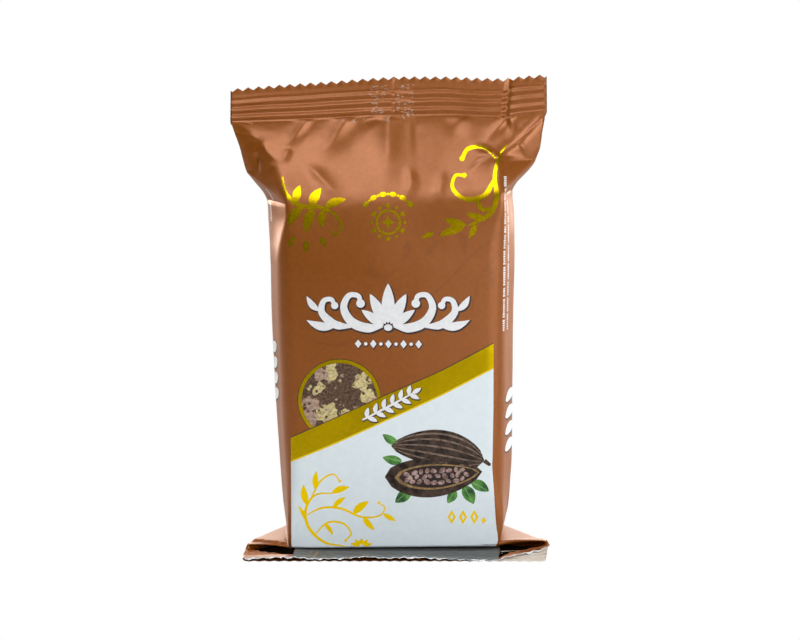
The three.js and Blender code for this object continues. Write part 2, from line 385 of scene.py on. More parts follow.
def setAskew(grid):
    x, z = grid[..., 0], grid[..., 2].copy()
    atBlock = through(askew["blockEdge"], x)
    atFoot = through(askew["sealFoot"], x) - block["sealFoot"]
    toSeal = np.clip((z - block["height"]) / (block["sealFoot"] - block["height"]), 0, 1)
    tilt = block["footTilt"] * x * smooth(0.6, 1.2, z) * (1 - smooth(3, 30, z)) * (grid[..., 1] < -12)
    low = smooth(45, block["height"], z) * atBlock + tilt
    inSeal = np.clip((z - block["sealFoot"]) / film["sealLength"], 0, 1)
    onSeal = mix(through(askew["sealFoot"], x), through(askew["cutEdge"], x), inSeal)
    grid[..., 2] += np.where(z < block["height"], low, mix(atBlock, atFoot, toSeal))
    grid[..., 2] = np.where(z > block["sealFoot"] + 1e-6, onSeal, grid[..., 2])


def toothShape(places):
    phase = (places / film["toothPitch"]) % 1
    return 1 - np.abs(2 * phase - 1)


def gridNormals(grid):
    normal = np.cross(np.gradient(grid, axis=1), np.gradient(grid, axis=0))
    return normal / (np.linalg.norm(normal, axis=2, keepdims=True) + 1e-12)


# Creases and print on the front are placed as seen from the photograph's viewpoint,
# measured on an upright plane through the block's front.
viewPoint = np.array([2.0, -750.0, 187.0])
layoutPlane = -13.0


def asSeen(points):
    share = (layoutPlane - viewPoint[1]) / (points[..., 1] - viewPoint[1])
    return (viewPoint[0] + (points[..., 0] - viewPoint[0]) * share,
            viewPoint[2] + (points[..., 2] - viewPoint[2]) * share)


# Each crease is a fold along a line: how far its crest stands out, the widths of its flanks to the
# left and right of the line's run, how round its crest is, and whether it fades at start and end.
frontCreases = [
    # left of the middle
    {"line": [(-25.2, 124.0), (-28.6, 119.5), (-33.2, 116.1)], "rise": 0.75, "flanks": (2.4, 3.2)},
    {"line": [(-13.6, 124.6), (-17.6, 118.3), (-23.3, 112.4)],
     "rise": 1.0, "flanks": (4.2, 4.0), "round": 0.6},
    {"line": [(-24.4, 112.7), (-20.2, 108.4), (-13.6, 101.8)],
     "rise": 0.55, "flanks": (3.0, 2.6), "round": 0.4},
    {"line": [(-29.2, 117.2), (-30.6, 114.4), (-32.2, 112.1)], "rise": 0.5, "flanks": (1.5, 3.0)},
    {"line": [(-5.9, 125.2), (-11.6, 121.5)], "rise": 0.35, "flanks": (1.6, 2.2), "round": 0.3},
    {"line": [(-1.2, 126.0), (-1.3, 116.6), (-2.4, 105.1)], "rise": 1.05, "flanks": (5.6, 5.0), "round": 0.8},
    # left ear
    {"line": [(-44.2, 122.6), (-41.3, 121.5), (-38.5, 118.1)], "rise": -0.35, "flanks": (1.2, 1.2)},
    {"line": [(-36.8, 118.9), (-36.0, 116.1), (-31.8, 112.4)], "rise": 0.45, "flanks": (2.6, 1.4)},
    {"line": [(-36.8, 118.9), (-40.5, 120.6), (-44.2, 122.6)], "rise": 0.4, "flanks": (1.4, 1.6)},
    {"line": [(-33.5, 112.4), (-36.0, 112.1), (-38.1, 109.0)], "rise": 0.35, "flanks": (1.4, 1.4)},
    {"line": [(-38.7, 116.4), (-38.6, 109.0)], "rise": -0.75, "flanks": (0.9, 1.6), "round": 0.08},
    # middle
    {"line": [(4.9, 126.2), (5.0, 118.1), (5.6, 111.4)], "rise": 0.16, "flanks": (1.3, 2.4), "round": 0.3},
    {"line": [(4.6, 112.0), (5.2, 107.0), (3.0, 101.0)], "rise": 0.34, "flanks": (2.2, 2.0), "round": 0.5},
    # right of the middle
    {"line": [(32.6, 126.0), (28.1, 121.2), (24.7, 117.2)], "rise": 0.5, "flanks": (1.6, 1.6)},
    {"line": [(29.2, 114.9), (25.5, 116.9), (20.7, 117.8)],
     "rise": 0.6, "flanks": (1.3, 1.6), "start": False},
    {"line": [(29.2, 114.9), (24.7, 112.9), (20.2, 109.0)],
     "rise": 0.75, "flanks": (3.8, 1.6), "start": False},
    {"line": [(14.5, 110.9), (13.1, 104.7), (15.4, 98.4)], "rise": 0.34, "flanks": (2.8, 2.2), "round": 0.5},
    {"line": [(17.6, 122.3), (16.2, 118.9)], "rise": -0.4, "flanks": (3.2, 3.2), "round": 1.2},
    # right ear
    {"line": [(43.2, 126.3), (35.7, 119.5), (32.3, 116.9), (29.2, 114.7)], "rise": -0.6, "flanks": (1.8, 1.8),
     "start": False, "end": False, "round": 0.1},
    {"line": [(33.1, 126.2), (34.0, 122.3), (35.4, 119.5)],
     "rise": 0.7, "flanks": (1.3, 1.0), "start": False},
    {"line": [(35.7, 119.5), (37.5, 115.8), (40.0, 113.2)], "rise": 0.5, "flanks": (2.6, 0.9), "round": 0.1},
    {"line": [(29.5, 114.7), (30.4, 110.4), (31.6, 104.1)], "rise": 0.35, "flanks": (2.0, 2.0), "round": 0.3},
]


# Distance from a line of points, signed by the side of its run (left is positive),
# and the share of the way along it
def distanceToLine(x, z, line):
    best = np.full(x.shape, 1e9)
    along = np.zeros(x.shape)
    total = sum(math.dist(a, b) for a, b in zip(line, line[1:]))
    done = 0.0
    for (ax, az), (bx, bz) in zip(line, line[1:]):
        dx, dz = bx - ax, bz - az
        span = math.hypot(dx, dz)
        share = np.clip(((x - ax) * dx + (z - az) * dz) / span ** 2, 0, 1)
        gap = np.hypot(x - ax - share * dx, z - az - share * dz)
        leftward = np.where(dx * (z - az) - dz * (x - ax) >= 0, 1, -1)
        nearer = gap < np.abs(best)
        best = np.where(nearer, gap * leftward, best)
        along = np.where(nearer, (done + share * span) / total, along)
        done += span
    return best, along


def creaseField(x, z, creases):
    push = np.zeros(x.shape)
    for crease in creases:
        line = crease["line"]
        fromSeal = line[0][1] > 121.5
        if fromSeal:  # a fold that starts at the seal runs on behind it
            (ax, az), (bx, bz) = line[:2]
            span = math.hypot(ax - bx, az - bz)
            line = [(ax + (ax - bx) / span * 4, az + (az - bz) / span * 4), *line]
        away, along = distanceToLine(x, z, line)
        width = np.where(away > 0, crease["flanks"][0], crease["flanks"][1])
        crest = crease.get("round", 0.18)
        gap = np.sqrt(away ** 2 + crest ** 2) - crest
        fade = np.ones(x.shape)
        if crease.get("start", True) and not fromSeal:
            fade *= smooth(-0.05, 0.3, along)
        if crease.get("end", True):
            fade *= 1 - smooth(0.3, 1.05, along)
        profile = np.clip(1 - gap / (1.35 * width * mix(0.7, 1.35, along)), 0, 1) ** 2
        push += crease["rise"] * profile * fade
    return push


# Soft seeded unevenness over a grid, with about the given number of swells each way
def unevenness(shape, cells, seed):
    rng = np.random.default_rng(seed)
    values = rng.normal(size=(cells[0] + 3, cells[1] + 3))
    r = np.linspace(0, cells[0], shape[0])[:, None]
    c = np.linspace(0, cells[1], shape[1])[None, :]
    r0, c0 = r.astype(int), c.astype(int)
    fr, fc = r - r0, c - c0
    fr, fc = fr * fr * (3 - 2 * fr), fc * fc * (3 - 2 * fc)
    return (values[r0, c0] * (1 - fr) * (1 - fc) + values[r0 + 1, c0] * fr * (1 - fc)
            + values[r0, c0 + 1] * (1 - fr) * fc + values[r0 + 1, c0 + 1] * fr * fc)


# The ridges across a seal, by the distance in millimetres from its foot
def crimpField(rise):
    phase = (rise - film["crimpFirst"]) / film["crimpPitch"]
    wave = np.cos(2 * math.pi * phase)
    count = film["crimpCount"]
    inside = smooth(-0.75, -0.45, phase) * (1 - smooth(count - 0.6, count - 0.3, phase))
    ridge = film["footRidge"] * np.exp(-((rise - 0.2) / 0.16) ** 2)
    return film["crimpHeight"] * wave * inside + ridge


def buildTube():
    rows, heights = allRows()
    parts = np.array([part for part, _ in rows])
    inTop, inBottom = parts == "topSeal", parts == "bottomSeal"
    topShare, bottomShare = np.zeros(len(rows)), np.zeros(len(rows))
    topShare[inTop] = np.linspace(0, 1, inTop.sum() + 1)[1:]
    bottomShare[inBottom] = np.linspace(1, 0, inBottom.sum())
    tube = {"heights": heights, "parts": parts}
    for layer, step in (("front", film["frontStep"]), ("back", film["backStep"])):
        places = columnPlaces(step)
        grid = layerGrid(rows, layer, places)
        x, z = grid[..., 0], grid[..., 2]
        face = smooth(3, 30, z) * (1 - smooth(80, 104, z))
        middle = np.clip(1 - (x / 34) ** 2, 0, 1)
        outward = -1 if layer == "front" else 1
        grid[..., 1] += outward * block["frontBulge"] * face * middle
        setAskew(grid)
        tube[layer] = grid
        tube[layer + "Places"] = places

    onSeals = (inTop | inBottom)[:, None]
    for layer, seed in (("front", 3), ("back", 8)):
        grid = tube[layer]
        x, z = asSeen(grid)
        if layer == "back":
            x = -x
        rises = creaseField(x, z, frontCreases)
        up, sealFoot = grid[..., 2], block["sealFoot"]
        hold = smooth(block["shoulderFoot"] - 9, block["shoulderFoot"] - 2, up)
        hold = hold * (1 - smooth(sealFoot - 1.6, sealFoot + 0.2, up - 0.02 * grid[..., 0]))
        swell = 0.10 * unevenness(x.shape, (16, 7), seed) + 0.012 * unevenness(x.shape, (70, 34), seed + 1)
        body = smooth(2.5, 12, up) * (1 - smooth(sealFoot - 4, sealFoot, up))
        push = np.where(onSeals, 0, rises * hold + swell * body)
        normals = gridNormals(grid) * (1 if layer == "front" else -1)
        grid += normals * push[..., None]

    for layer in ("front", "back"):
        grid, places = tube[layer], tube[layer + "Places"]
        x = grid[..., 0]
        tooth = toothShape(places)[None, :] * film["toothDepth"]
        rise = topShare[:, None] * (film["sealLength"] - 0.15)
        rise = rise - 0.45 * smooth(31.5, 34, x) + 0.18 * unevenness(x.shape, (3, 9), 21)
        strength = 1 - 0.3 * smooth(20, 28, x) + 0.2 * unevenness(x.shape, (4, 14), 22)
        strength -= 0.75 * smooth(-0.1, 0.3, x) * (1 - smooth(3.5, 6.5, x))
        dent = film["finDent"] * np.exp(-((x - film["finDentAt"] - 0.12 * rise) / 0.7) ** 2)
        flap = film["flapStep"] * smooth(-7.4, -6.4, x) * (1 - smooth(-0.1, 0.25, x))
        pressed = crimpField(rise) * np.clip(strength, 0.15, 1.3) - dent + flap * smooth(0, 0.6, rise)
        grid[..., 1] -= np.where(inTop[:, None], pressed, 0)
        grid[..., 2] += smooth(0.9, 1, topShare)[:, None] * tooth
        rise = bottomShare[:, None] * film["sealLength"]
        crimp = np.where(inBottom[:, None], crimpField(rise), 0)
        grid[..., 2] += np.maximum(crimp, -0.02)
        grid[..., 1] -= smooth(0.9, 1, bottomShare)[:, None] * tooth
        if layer == "front":
            toEdge = smooth(0.1, 1, bottomShare)[:, None]
            grid[..., 2] += through(foot["edgeRise"], x) * toEdge
            back = through(foot["edgeBack"], x)
            grid[..., 1] += np.where(inBottom[:, None], back * bottomShare[:, None], 0)
    return tube


tube = buildTube()
print("film shaped:", tube["front"].shape, tube["back"].shape)


def makeMesh(name, points, faces, material, normals=None):
    mesh = bpy.data.meshes.new(name)
    mesh.from_pydata(((np.asarray(points) + toFrame) * metres).tolist(), [], faces)
    mesh.polygons.foreach_set("use_smooth", [True] * len(mesh.polygons))
    mesh.update()
    if normals is not None:
        mesh.normals_split_custom_set_from_vertices(np.asarray(normals).tolist())
    piece = bpy.data.objects.new(name, mesh)
    bpy.context.scene.collection.objects.link(piece)
    mesh.materials.append(material)
    return piece


def nodeMaterial(name):
    material = bpy.data.materials.new(name)
    material.use_nodes = True
    nodes = material.node_tree.nodes
    return material, nodes, material.node_tree.links, nodes["Principled BSDF"]


filmFinish = {
    "one": (0.345, 0.092, 0.0, 1),
    "two": (0.305, 0.080, 0.0, 1),
    "grain": 900,
    "roughness": 0.36,
    "metal": 0.33,
    "shine": 0.9,
}


# Two close tones in a fine grain, as every ink on the film has
def grainedMaterial(name, finish):
    material, nodes, links, shader = nodeMaterial(name)
    where = nodes.new("ShaderNodeTexCoord")
    grain = nodes.new("ShaderNodeTexNoise")
    grain.inputs["Scale"].default_value = finish["grain"]
    grain.inputs["Detail"].default_value = 3
    links.new(where.outputs["Object"], grain.inputs["Vector"])
    spread = nodes.new("ShaderNodeMapRange")
    spread.inputs["From Min"].default_value = 0.35
    spread.inputs["From Max"].default_value = 0.65
    links.new(grain.outputs["Fac"], spread.inputs["Value"])
    tint = nodes.new("ShaderNodeMix")
    tint.data_type = "RGBA"
    tint.inputs["A"].default_value = finish["two"]
    tint.inputs["B"].default_value = finish["one"]
    links.new(spread.outputs["Result"], tint.inputs["Factor"])
    links.new(tint.outputs["Result"], shader.inputs["Base Color"])
    shader.inputs["Metallic"].default_value = finish["metal"]
    shader.inputs["Roughness"].default_value = finish["roughness"]
    shader.inputs["Specular IOR Level"].default_value = finish["shine"]
    return material


brownFilm = grainedMaterial("brownFilm", filmFinish)


def buildFilmPiece():
    front, back = tube["front"], tube["back"]
    ring = np.concatenate([front, back[:, 1:-1][:, ::-1]], axis=1)
    rowCount, count = ring.shape[:2]
    points = ring.reshape(-1, 3)
    faces = []
    for row in range(rowCount - 1):
        low = row * count
        for column in range(count):
            after = (column + 1) % count
            faces.append((low + column, low + after, low + count + after, low + count + column))
    piece = makeMesh("film", points, faces, brownFilm)
    bake = piece.data.uv_layers.new(name="OFBake")
    row, column = np.divmod(np.arange(len(faces)), count)
    corners = np.stack([np.stack([(column + right) / count, (row + up) / rowCount], 1)
                        for right, up in ((0, 0), (1, 0), (1, 1), (0, 1))], 1)
    bake.data.foreach_set("uv", corners.ravel())
    return piece


filmPiece = buildFilmPiece()
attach(filmPiece, "root")
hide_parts("pack")
print("film built:", len(filmPiece.data.polygons), "faces")


# The film's points and outward directions, which the print is laid on
surface = {layer: {"points": tube[layer], "normals": gridNormals(tube[layer]) * outward,
                   "places": tube[layer + "Places"]}
           for layer, outward in (("front", 1), ("back", -1))}


# Points on the film: places run round the tube from the middle of the front, positive to the right
# and on over the side to the back, heights run along the film as on the block's front
def onFilm(places, heights, lift=0.0):
    places, heights = np.asarray(places, float), np.asarray(heights, float)
    row = np.interp(heights, tube["heights"], np.arange(len(tube["heights"])))
    half = film["flatHalf"]
    points, normals = np.zeros((len(places), 3)), np.zeros((len(places), 3))
    onFront = np.abs(places) <= half
    for layer, chosen in (("front", onFront), ("back", ~onFront)):
        if not chosen.any():
            continue
        place = places[chosen]
        if layer == "back":
            place = np.sign(place) * (2 * half - np.abs(place))
        count = len(surface[layer]["places"])
        column = np.interp(place, surface[layer]["places"], np.arange(count))
        r0 = np.minimum(row[chosen].astype(int), len(tube["heights"]) - 2)
        c0 = np.minimum(column.astype(int), count - 2)
        fr, fc = (row[chosen] - r0)[:, None], (column - c0)[:, None]
        for key, out in (("points", points), ("normals", normals)):
            grid = surface[layer][key]
            out[chosen] = (grid[r0, c0] * (1 - fr) * (1 - fc) + grid[r0 + 1, c0] * fr * (1 - fc)
                           + grid[r0, c0 + 1] * (1 - fr) * fc + grid[r0 + 1, c0 + 1] * fr * fc)
    normals /= np.linalg.norm(normals, axis=1, keepdims=True) + 1e-12
    return points + normals * lift, normals


def filmTree(grid):
    rows, columns = grid.shape[:2]
    corner = (np.arange(rows - 1)[:, None] * columns + np.arange(columns - 1)[None, :]).ravel()
    quads = np.stack([corner, corner + 1, corner + columns + 1, corner + columns], 1)
    return BVHTree.FromPolygons(grid.reshape(-1, 3).tolist(), quads.tolist())


frontTree = filmTree(tube["front"])


# Where points of the layout plane fall on the film, as places and heights
def toFilm(seen):
    grid, places, heights = tube["front"], tube["frontPlaces"], tube["heights"]
    eye = Vector(viewPoint)
    found = []
    for x, z in seen:
        hit, _, index, _ = frontTree.ray_cast(eye, Vector((x, layoutPlane, z)) - eye)
        if hit is None:
            found.append((x, z))
            continue
        row, column = divmod(index, grid.shape[1] - 1)
        corner = grid[row, column]
        across, up = grid[row, column + 1] - corner, grid[row + 1, column] - corner
        away = np.array(hit) - corner
        right = np.clip(away @ across / (across @ across), 0, 1)
        rise = np.clip(away @ up / (up @ up), 0, 1)
        found.append((mix(places[column], places[column + 1], right),
                      mix(heights[row], heights[row + 1], rise)))
    return np.array(found)


def dense(outline, step=0.45):
    line = []
    for start, end in zip(outline, np.roll(outline, -1, axis=0)):
        count = max(1, int(math.ceil(np.linalg.norm(end - start) / step)))
        line.append(start + (end - start) * (np.arange(count) / count)[:, None])
    return np.vstack(line)


def isInside(points, outlines):
    inside = np.zeros(len(points), bool)
    for outline in outlines:
        low, high = outline.min(0), outline.max(0)
        near = np.flatnonzero(((points >= low) & (points <= high)).all(1))
        if not len(near):
            continue
        x, y = points[near].T
        turns = np.zeros(len(near), int)
        for (x0, y0), (x1, y1) in zip(outline, np.roll(outline, -1, axis=0)):
            side = (x1 - x0) * (y - y0) - (x - x0) * (y1 - y0)
            turns += ((y0 <= y) & (y1 > y) & (side > 0)).astype(int)
            turns -= ((y0 > y) & (y1 <= y) & (side < 0)).astype(int)
        inside[near] |= turns != 0
    return inside


# Triangles that fill outlines given as places and heights on the film, bending with it
def fillOnFilm(outlines, holes, within):
    everything = outlines + holes + within
    low = np.min([outline.min(0) for outline in outlines], axis=0)
    high = np.max([outline.max(0) for outline in outlines], axis=0)
    places = np.concatenate([tube["frontPlaces"], 2 * film["flatHalf"] - tube["backPlaces"][::2],
                             -2 * film["flatHalf"] - tube["backPlaces"][::2]])
    places = np.unique(np.round(places[(places > low[0]) & (places < high[0])], 3))
    heights = tube["heights"][(tube["heights"] > low[1]) & (tube["heights"] < high[1])]
    inner = np.array([(place, height) for height in heights for place in places]).reshape(-1, 2)

    def wanted(points):
        inside = isInside(points, outlines) & ~isInside(points, holes)
        return inside & isInside(points, within) if within else inside

    inner = inner[wanted(inner)]
    rims = np.vstack(everything)
    if len(inner):
        tree = KDTree(len(rims))
        for index, rim in enumerate(rims):
            tree.insert((*rim, 0), index)
        tree.balance()
        clear = np.array([tree.find((*point, 0))[2] > 0.14 for point in inner], bool)
        inner = inner[clear]
    edges, start = [], 0
    for outline in everything:
        count = len(outline)
        edges += [(start + index, start + (index + 1) % count) for index in range(count)]
        start += count
    spots = [Vector(spot) for spot in np.vstack([rims, inner]).tolist()]
    spots, _, faces, _, _, _ = delaunay_2d_cdt(spots, edges, [], 0, 1e-5)
    spots, faces = np.array([tuple(spot) for spot in spots]), np.array(faces)
    faces = faces[wanted(spots[faces].mean(1))]
    used, faces = np.unique(faces, return_inverse=True)
    return spots[used], faces.reshape(-1, 3)


# Print whose outlines are given on the film, or as seen on the layout plane
def printFlat(name, outlines, material, lift, holes=(), within=()):
    spots, faces = fillOnFilm(*[[dense(outline) for outline in group] for group in (outlines, holes, within)])
    points, normals = onFilm(*spots.T, lift)
    piece = makeMesh(name, points, faces.tolist(), material, normals)
    layer = piece.data.uv_layers.new(name="OFBake")
    reach = max(np.ptp(spots, axis=0))
    shared = (spots - spots.min(0)) / reach
    corners = np.array([loop.vertex_index for loop in piece.data.loops])
    layer.data.foreach_set("uv", shared[corners].ravel())
    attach(piece, "root")


def printSeen(name, outlines, material, lift, holes=(), within=()):
    placed = [[toFilm(dense(outline)) for outline in group] for group in (outlines, holes, within)]
    printFlat(name, placed[0], material, lift, placed[1], placed[2])


# A smooth curve through the points of an outline
def smoothLine(points, steps=8):
    points = np.array(points, float)
    padded = np.vstack([2 * points[0] - points[1], points, 2 * points[-1] - points[-2]])
    line = []
    turn = np.linspace(0, 1, steps, endpoint=False)[:, None]
    for a, b, c, d in zip(padded, padded[1:], padded[2:], padded[3:]):
        line.append(b + (c - a) / 2 * turn + (2 * a - 5 * b + 4 * c - d) / 2 * turn ** 2
                    + (3 * b - a - 3 * c + d) / 2 * turn ** 3)
    return np.vstack([*line, points[-1:]])


# The outline of a line of changing width, grown all round where it is a shade
def stroke(points, widths, grow=0.0):
    line = smoothLine(points)
    run = np.gradient(line, axis=0)
    run /= np.linalg.norm(run, axis=1, keepdims=True)
    length = np.concatenate([[0], np.cumsum(np.linalg.norm(np.diff(line, axis=0), axis=1))])
    half = np.interp(length / length[-1], np.linspace(0, 1, len(widths)), widths)[:, None] / 2 + grow
    aside = np.stack([-run[:, 1], run[:, 0]], 1)
    start, end = line[:1] - run[:1] * grow, line[-1:] + run[-1:] * (half[-1] * 0.8 + grow)
    return np.vstack([start, line - aside * half, end, (line + aside * half)[::-1]])


def leaf(base, tip, width, bend=0.0, full=0.9, grow=0.0):
    base, tip = np.array(base, float), np.array(tip, float)
    length = np.linalg.norm(tip - base)
    run = (tip - base) / length
    aside = np.array([-run[1], run[0]])
    share = np.linspace(0, 1, 17)[:, None]
    middle = base + (tip - base) * share + aside * bend * 4 * share * (1 - share)
    half = width / 2 * np.sin(math.pi * share ** 0.85) ** full + grow
    start, end = base - run * grow * 1.5, tip + run * grow * 1.5
    return np.vstack([start, middle - aside * half, end, (middle + aside * half)[::-1]])


def disc(centre, radius, squash=1.0, turn=0.0, grow=0.0, count=26):
    angle = np.linspace(0, 2 * math.pi, count, endpoint=False)
    x, y = np.cos(angle) * (radius + grow), np.sin(angle) * (radius * squash + grow)
    c, s = math.cos(turn), math.sin(turn)
    return np.stack([centre[0] + x * c - y * s, centre[1] + x * s + y * c], 1)


def lozenge(centre, width, height, grow=0.0):
    x, y = centre
    w, h = width / 2 + grow * 1.4, height / 2 + grow * 1.4
    return np.array([(x + w, y), (x, y + h), (x - w, y), (x, y - h)])


def curl(points, widths, bulb, grow=0.0):
    return [stroke(points, widths, grow), disc(points[-1], bulb, grow=grow, count=18)]


def mirrored(outlines, middle):
    return [np.stack([2 * middle - outline[:, 0], outline[:, 1]], 1)[::-1] for outline in outlines]


def moved(outlines, right, up):
    return [outline + np.array([right, up]) for outline in outlines]


# What the inks share, then the two close tones of each and what sets it apart
plainInk = {"grain": 900, "roughness": 0.4, "metal": 0.0, "shine": 0.4}
inks = {
    "whiteInk": {"one": (0.825, 0.925, 0.985, 1), "two": (0.795, 0.895, 0.955, 1),
                 "grain": 500, "roughness": 0.3, "shine": 0.5},
    # Painted shade: the white print on the bottom seal is given in grey, as in the shade in front of the
    # block
    "sealWhitePaintedShade": {"one": (0.15, 0.16, 0.16, 1), "two": (0.12, 0.128, 0.128, 1),
                  "grain": 500, "roughness": 0.35, "shine": 0.25},
    # Painted shadow: near black for the seal's corners under the ears
    "paintedShadowBrown": {"one": (0.006, 0.003, 0.0016, 1), "two": (0.003, 0.0016, 0.0009, 1),
                  "grain": 700, "roughness": 0.6, "shine": 0.0},
    "innerPale": {"one": (0.78, 0.72, 0.64, 1), "two": (0.7, 0.63, 0.54, 1), "grain": 700, "shine": 0.5},
    "scuffPale": {"one": (0.56, 0.38, 0.28, 1), "two": (0.4, 0.22, 0.14, 1),
                  "roughness": 0.5, "shine": 0.5},
    "whiteLine": {"one": (0.9, 0.92, 0.95, 1), "two": (0.84, 0.86, 0.9, 1),
                  "roughness": 0.35, "shine": 0.5},
    "shadeInk": {"one": (0.055, 0.028, 0.03, 1), "two": (0.035, 0.018, 0.022, 1),
                 "roughness": 0.35, "shine": 0.5},
    "goldInk": {"one": (0.655, 0.46, 0.0, 1), "two": (0.58, 0.403, 0.0, 1),
                "grain": 1200, "roughness": 0.27, "metal": 0.92, "shine": 0.5},
    "yellowInk": {"one": (1.0, 0.7, 0.0, 1), "two": (0.96, 0.655, 0.0, 1),
                  "roughness": 0.35, "shine": 0.03},
    "lineYellow": {"one": (0.9, 0.66, 0.0, 1), "two": (0.82, 0.58, 0.0, 1), "roughness": 0.35},
    "lineBrown": {"one": (0.12, 0.055, 0.01, 1), "two": (0.09, 0.04, 0.01, 1),
                  "roughness": 0.35, "shine": 0.5},
    "swirlBrown": {"one": (0.31, 0.082, 0.0, 1), "two": (0.27, 0.071, 0.0, 1),
                   "roughness": 0.36, "metal": 0.33, "shine": 0.9},
    "podBrown": {"one": (0.088, 0.056, 0.042, 1), "two": (0.012, 0.008, 0.007, 1),
                 "grain": 420, "shine": 0.22},
    "podRidge": {"one": (0.27, 0.19, 0.14, 1), "two": (0.1, 0.06, 0.045, 1), "grain": 700},
    "podHollow": {"one": (0.03, 0.012, 0.011, 1), "two": (0.012, 0.006, 0.006, 1), "grain": 700},
    "beanTan": {"one": (0.52, 0.36, 0.33, 1), "two": (0.12, 0.06, 0.05, 1), "grain": 800},
    "rimTan": {"one": (0.42, 0.27, 0.1, 1), "two": (0.2, 0.12, 0.05, 1), "grain": 800},
    "leafGreen": {"one": (0.13, 0.39, 0.065, 1), "two": (0.015, 0.085, 0.022, 1), "grain": 300},
    "veinGreen": {"one": (0.33, 0.55, 0.24, 1), "two": (0.18, 0.4, 0.12, 1), "grain": 800},
    "crumbBrown": {"one": (0.17, 0.1, 0.064, 1), "two": (0.052, 0.027, 0.015, 1), "grain": 1500},
    "crumbCream": {"one": (0.76, 0.66, 0.33, 1), "two": (0.45, 0.35, 0.165, 1), "grain": 1300},
    "crumbRose": {"one": (0.55, 0.4, 0.3, 1), "two": (0.3, 0.19, 0.15, 1), "grain": 1300},
}
ink = {name: grainedMaterial(name, plainInk | inks[name]) for name in inks}


# How far each layer of print lies over the film, so that none sinks into the one below
lifts = {"ground": 0.03, "lump": 0.037, "rose": 0.044, "field": 0.051, "band": 0.058, "shade": 0.066,
         "figure": 0.08, "detail": 0.094, "topmost": 0.108}

# White field, gold band and the ring that shows the crumb
field = {
    "rightEdge": [(28.8, 60.5), (28.9, 44.0), (28.75, 29.0), (28.7, 24.5), (29.2, 18.0), (29.9, 7.5),
                  (30.3, 5.0)],
    "lowerCorners": [(30.4, 2.6), (-29.6, 2.6)],
    "bandTop": [(-29.5, 33.4), (-17.5, 38.7), (-3.3, 45.3), (13.5, 52.8), (28.85, 61.0)],
    "bandFoot": [(-29.5, 26.3), (-17.0, 31.5), (-1.5, 38.6), (13.5, 45.6), (28.85, 53.7)],
    "ringCentre": (-15.4, 44.4),
    "ringRadius": 11.9,
    "ringWidth": 1.05,
    # the bottom seal's corners under the ears, printed near black as painted shadow: out from the white,
    # share of the way to the cut edge
    "sealPaintedShadowLeft": [(0, 0.72), (2.7, 0.70), (5.4, 0.62), (9.0, 0.36), (12.4, 0.03)],
    "sealPaintedShadowRight": [(0, 0.93), (1.0, 0.88), (2.5, 0.72), (5.3, 0.4), (9.4, 0.14), (12.2, 0.02)],
}


def layField():
    top, low = smoothLine(field["bandTop"], 12), smoothLine(field["bandFoot"], 12)
    middle = (top + low) / 2
    edge = smoothLine(field["rightEdge"], 6)
    edge = edge[edge[:, 1] < middle[-1, 1] - 0.5]
    seen = toFilm(dense(np.vstack([middle, edge, field["lowerCorners"]])))
    spots = [spot for spot in seen if spot[1] > 3.4]
    right = max(spot[0] for spot in seen if spot[1] < 4)
    left = min(spot[0] for spot in seen if spot[1] < 4)
    start = max(range(len(spots)), key=lambda index: (spots[index][0] > 20) * (40 - spots[index][1]))
    lower = [(right, 3.0), (right - 0.2, 0.9), (left + 0.2, 0.9), (left, 3.0)]
    outline = np.array(spots[:start + 1] + lower + spots[start + 1:])
    lowest, seal = tube["heights"][0], tube["heights"][tube["parts"] == "bottomSeal"].max()
    onSeal = np.array([(left + 0.2, lowest), (right + 0.3, lowest), (right + 0.1, seal + 5),
                       (left + 0.6, seal + 5)])
    printFlat("whiteField", [outline], ink["whiteInk"], lifts["ground"])
    # The seal's white print, painted grey as shade
    printFlat("whiteOnSealPaintedShade", [onSeal], ink["sealWhitePaintedShade"], lifts["ground"])
    # Painted shadow: near-black patches on the seal's corners under the ears
    for name, side, edge in (("sealPaintedShadowLeft", -1, left + 0.3), ("sealPaintedShadowRight", 1, right + 0.05)):
        ends = [(edge + side * out, mix(seal, lowest, share)) for out, share in field[name]]
        printFlat(name, [np.array([(edge, seal + 9)] + ends + [(ends[-1][0] - side * 0.6, seal + 9)])],
                  ink["paintedShadowBrown"], lifts["ground"])
    band = np.vstack([top, low[::-1]])
    printSeen("goldBand", [band], ink["goldInk"], lifts["band"])
    printSeen("bandLine", [stroke(low[::6] + (0, 0.1), [0.42])], ink["lineYellow"], lifts["shade"])
    printSeen("bandShade", [stroke(top[::6] + (0, 0.12), [0.3])], ink["lineBrown"], lifts["shade"])
    x, z = field["ringCentre"]
    radius, width = field["ringRadius"], field["ringWidth"]
    above = [np.vstack([middle, [(40, 70), (-40, 70)]])]
    printSeen("ringShade", [disc((x, z), radius + 0.22, count=90)], ink["lineBrown"], lifts["ground"],
              [disc((x, z), radius - 0.2, count=90)], above)
    printSeen("goldRing", [disc((x, z), radius, count=90)], ink["goldInk"], lifts["field"],
              [disc((x, z), radius - width, count=90)], above)
    return disc((x, z), radius - width + 0.05, count=80)


crumb = {
    "seed": 11,
    # large pale lumps: right, up and size, from the ring's centre
    "lumpPlaces": [(-5.4, 7.6, 2.0), (-2.4, 8.4, 2.3), (6.6, 5.6, 2.6), (8.4, 0.8, 2.4), (-3.4, -4.2, 3.2),
                   (1.6, -5.2, 2.4), (6.2, -3.4, 1.8), (-8.2, -1.0, 2.2), (-8.6, -5.4, 2.4),
              (-6.0, 3.4, 1.6)],
    "roseLumps": (0, 7, 8),
    "flecks": 120,
}


def lumpOutline(rng, centre, radius, count=38):
    angle = np.linspace(0, 2 * math.pi, count, endpoint=False)
    away = np.full(count, radius)
    for waves in (2, 3, 5, 8, 13):
        swing = radius * rng.normal() * 0.5 / waves ** 0.7
        away += swing * np.cos(waves * angle + rng.uniform(0, 6.3)) * 0.55
    away = np.maximum(away, radius * 0.25)
    return np.stack([centre[0] + away * np.cos(angle), centre[1] + away * np.sin(angle)], 1)


